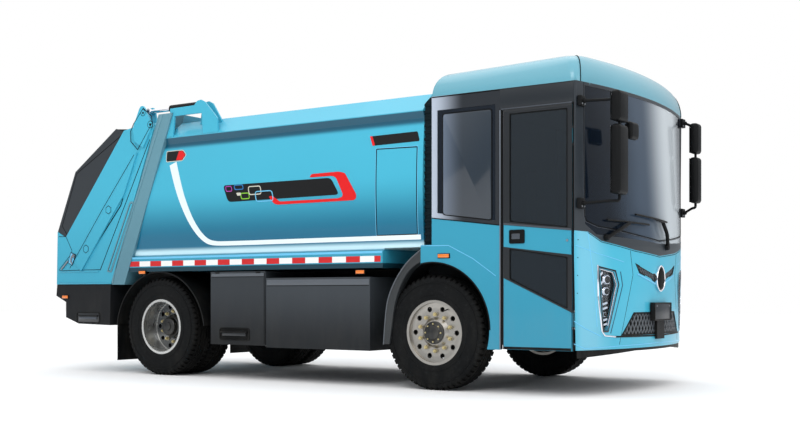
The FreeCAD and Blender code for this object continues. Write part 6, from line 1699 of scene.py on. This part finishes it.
class TruckTrim(bpy.types.PropertyGroup):
    tyre_lugs: bpy.props.IntProperty(name="Tyre lugs", description="Shoulder blocks round each tyre",
                                     default=56, min=24, max=96)
    tape_pitch: bpy.props.FloatProperty(name="Tape pitch", description="Length of a red and a white field",
                                        default=0.333, min=0.05, max=1.0, unit="LENGTH")
    stripe_width: bpy.props.FloatProperty(name="Stripe width",
                                          description="Width of the white stripe at its top", default=0.105,
                                          min=0.02, max=0.3, unit="LENGTH")


class TruckStudio(bpy.types.PropertyGroup):
    floor_size: bpy.props.FloatProperty(name="Floor size", description="Side of the studio floor",
                                        default=80.0, min=10.0, max=200.0, unit="LENGTH")
    sky: bpy.props.FloatProperty(name="Sky strength", description="Strength of the soft sky", default=1.38,
                                 min=0.0, max=5.0)
    key: bpy.props.FloatProperty(name="Key light", description="Power of the large light beside the camera",
                                 default=420.0, min=0.0, max=5000.0, unit="POWER")
    fill: bpy.props.FloatProperty(name="Front light", description="Power of the light before the cab",
                                  default=90.0, min=0.0, max=5000.0, unit="POWER")
    top: bpy.props.FloatProperty(name="Top light", description="Power of the light above the truck",
                                 default=120.0, min=0.0, max=5000.0, unit="POWER")
    lens: bpy.props.FloatProperty(name="Lens", description="Focal length of the camera", default=50.8,
                                  min=10.0, max=300.0, unit="CAMERA")


class TRUCK_OT_finishes(bpy.types.Operator):
    """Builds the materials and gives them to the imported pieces."""
    bl_idname = "truck.finishes"
    bl_label = "Make Finishes"
    bl_options = {"REGISTER", "UNDO"}

    def execute(self, context):
        dress_all(context.scene)
        return {"FINISHED"}


class TRUCK_OT_tyres(bpy.types.Operator):
    """Replaces the plain tyres with ribbed and lugged ones."""
    bl_idname = "truck.tyres"
    bl_label = "Fit Tyres"
    bl_options = {"REGISTER", "UNDO"}

    def execute(self, context):
        fit_tyres(context.scene)
        return {"FINISHED"}


class TRUCK_OT_hubs(bpy.types.Operator):
    """Adds hub caps, nuts and valves."""
    bl_idname = "truck.hubs"
    bl_label = "Fit Hubs"
    bl_options = {"REGISTER", "UNDO"}

    def execute(self, context):
        fit_hubs()
        return {"FINISHED"}


class TRUCK_OT_stripes(bpy.types.Operator):
    """Adds the white stripe, the side tape and the rails' painted highlight."""
    bl_idname = "truck.stripes"
    bl_label = "Fit Stripes"
    bl_options = {"REGISTER", "UNDO"}

    def execute(self, context):
        fit_stripes(context.scene)
        return {"FINISHED"}


class TRUCK_OT_side_panel(bpy.types.Operator):
    """Adds the service panel's lines and the blank labels."""
    bl_idname = "truck.side_panel"
    bl_label = "Fit Side Panel"
    bl_options = {"REGISTER", "UNDO"}

    def execute(self, context):
        fit_side_panel()
        return {"FINISHED"}


class TRUCK_OT_markers(bpy.types.Operator):
    """Adds amber lamps along the sides and on the tailgate."""
    bl_idname = "truck.markers"
    bl_label = "Fit Marker Lamps"
    bl_options = {"REGISTER", "UNDO"}

    def execute(self, context):
        fit_markers()
        return {"FINISHED"}


class TRUCK_OT_lockers(bpy.types.Operator):
    """Adds seams, painted edge highlights, pulls and hinges to the lockers."""
    bl_idname = "truck.lockers"
    bl_label = "Fit Locker Fittings"
    bl_options = {"REGISTER", "UNDO"}

    def execute(self, context):
        fit_lockers()
        return {"FINISHED"}


class TRUCK_OT_door_frames(bpy.types.Operator):
    """Adds the doors' frames, gaskets, handles and grab rails."""
    bl_idname = "truck.door_frames"
    bl_label = "Fit Door Frames"
    bl_options = {"REGISTER", "UNDO"}

    def execute(self, context):
        fit_door_frames()
        return {"FINISHED"}


class TRUCK_OT_cab_side(bpy.types.Operator):
    """Adds pillar strips, header, rear pane, arch lips and wings, painted crease highlights and bellows."""
    bl_idname = "truck.cab_side"
    bl_label = "Fit Cab Sides"
    bl_options = {"REGISTER", "UNDO"}

    def execute(self, context):
        fit_cab_side()
        return {"FINISHED"}


class TRUCK_OT_roof(bpy.types.Operator):
    """Replaces the roof with a smooth dome and adds its seams."""
    bl_idname = "truck.roof"
    bl_label = "Fit Roof"
    bl_options = {"REGISTER", "UNDO"}

    def execute(self, context):
        fit_roof()
        return {"FINISHED"}


class TRUCK_OT_front(bpy.types.Operator):
    """Adds lamps, trim, seams, grilles and the bare badge and plate places."""
    bl_idname = "truck.front"
    bl_label = "Fit Cab Front"
    bl_options = {"REGISTER", "UNDO"}

    def execute(self, context):
        fit_front()
        return {"FINISHED"}


class TRUCK_OT_wipers(bpy.types.Operator):
    """Adds the two wipers."""
    bl_idname = "truck.wipers"
    bl_label = "Fit Wipers"
    bl_options = {"REGISTER", "UNDO"}

    def execute(self, context):
        fit_wipers()
        return {"FINISHED"}


class TRUCK_OT_mirrors(bpy.types.Operator):
    """Replaces the mirrors with rounded ones."""
    bl_idname = "truck.mirrors"
    bl_label = "Fit Mirrors"
    bl_options = {"REGISTER", "UNDO"}

    def execute(self, context):
        fit_mirrors()
        return {"FINISHED"}


class TRUCK_OT_gate_side(bpy.types.Operator):
    """Adds bosses, pins, painted shadow lines, catches and pulls to the tailgate's sides."""
    bl_idname = "truck.gate_side"
    bl_label = "Fit Tailgate Sides"
    bl_options = {"REGISTER", "UNDO"}

    def execute(self, context):
        fit_gate_side()
        return {"FINISHED"}


class TRUCK_OT_ring(bpy.types.Operator):
    """Adds the ring frame's outer bar and the tailgate's pin slots."""
    bl_idname = "truck.ring"
    bl_label = "Fit Ring Frame"
    bl_options = {"REGISTER", "UNDO"}

    def execute(self, context):
        fit_ring()
        return {"FINISHED"}


class TRUCK_OT_gate_rear(bpy.types.Operator):
    """Adds the rear cover's ribs and grip, lamp clusters, plate place and reflectors."""
    bl_idname = "truck.gate_rear"
    bl_label = "Fit Tailgate Rear"
    bl_options = {"REGISTER", "UNDO"}

    def execute(self, context):
        fit_gate_rear()
        return {"FINISHED"}


class TRUCK_OT_stage(bpy.types.Operator):
    """Adds floor, sky, lights and camera."""
    bl_idname = "truck.stage"
    bl_label = "Set Stage"
    bl_options = {"REGISTER", "UNDO"}

    def execute(self, context):
        make_stage(context.scene)
        return {"FINISHED"}


OPERATORS = (
    TRUCK_OT_finishes,
    TRUCK_OT_tyres,
    TRUCK_OT_hubs,
    TRUCK_OT_stripes,
    TRUCK_OT_side_panel,
    TRUCK_OT_markers,
    TRUCK_OT_lockers,
    TRUCK_OT_door_frames,
    TRUCK_OT_cab_side,
    TRUCK_OT_roof,
    TRUCK_OT_front,
    TRUCK_OT_wipers,
    TRUCK_OT_mirrors,
    TRUCK_OT_gate_side,
    TRUCK_OT_ring,
    TRUCK_OT_gate_rear,
    TRUCK_OT_stage,
)


class TRUCK_PT_panel(bpy.types.Panel):
    """Lists the truck's settings and steps."""
    bl_label = "Refuse Truck"
    bl_idname = "TRUCK_PT_panel"
    bl_space_type = "VIEW_3D"
    bl_region_type = "UI"
    bl_category = "Truck"

    def draw(self, context):
        for settings in (context.scene.truck_colors, context.scene.truck_trim, context.scene.truck_studio):
            box = self.layout.box()
            for name in settings.__annotations__:
                box.prop(settings, name)
        for operator in OPERATORS:
            self.layout.operator(operator.bl_idname)


CLASSES = [TruckColors, TruckTrim, TruckStudio, *OPERATORS, TRUCK_PT_panel]
SETTINGS = {"truck_colors": TruckColors, "truck_trim": TruckTrim, "truck_studio": TruckStudio}


def register():
    """Adds the classes and the scene's settings."""
    for made in CLASSES:
        bpy.utils.register_class(made)
    for name, kind in SETTINGS.items():
        setattr(bpy.types.Scene, name, bpy.props.PointerProperty(type=kind))


def unregister():
    """Takes the settings and classes away again."""
    for name in SETTINGS:
        delattr(bpy.types.Scene, name)
    for made in reversed(CLASSES):
        bpy.utils.unregister_class(made)


def main():
    """Registers the add-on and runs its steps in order."""
    register()
    bpy.ops.truck.finishes()
    bpy.ops.truck.tyres()
    bpy.ops.truck.hubs()
    bpy.ops.truck.stripes()
    bpy.ops.truck.side_panel()
    bpy.ops.truck.markers()
    bpy.ops.truck.lockers()
    bpy.ops.truck.door_frames()
    bpy.ops.truck.cab_side()
    bpy.ops.truck.roof()
    bpy.ops.truck.front()
    bpy.ops.truck.wipers()
    bpy.ops.truck.mirrors()
    bpy.ops.truck.gate_side()
    bpy.ops.truck.ring()
    bpy.ops.truck.gate_rear()
    bpy.ops.truck.stage()


if __name__ == "__main__":
    main()
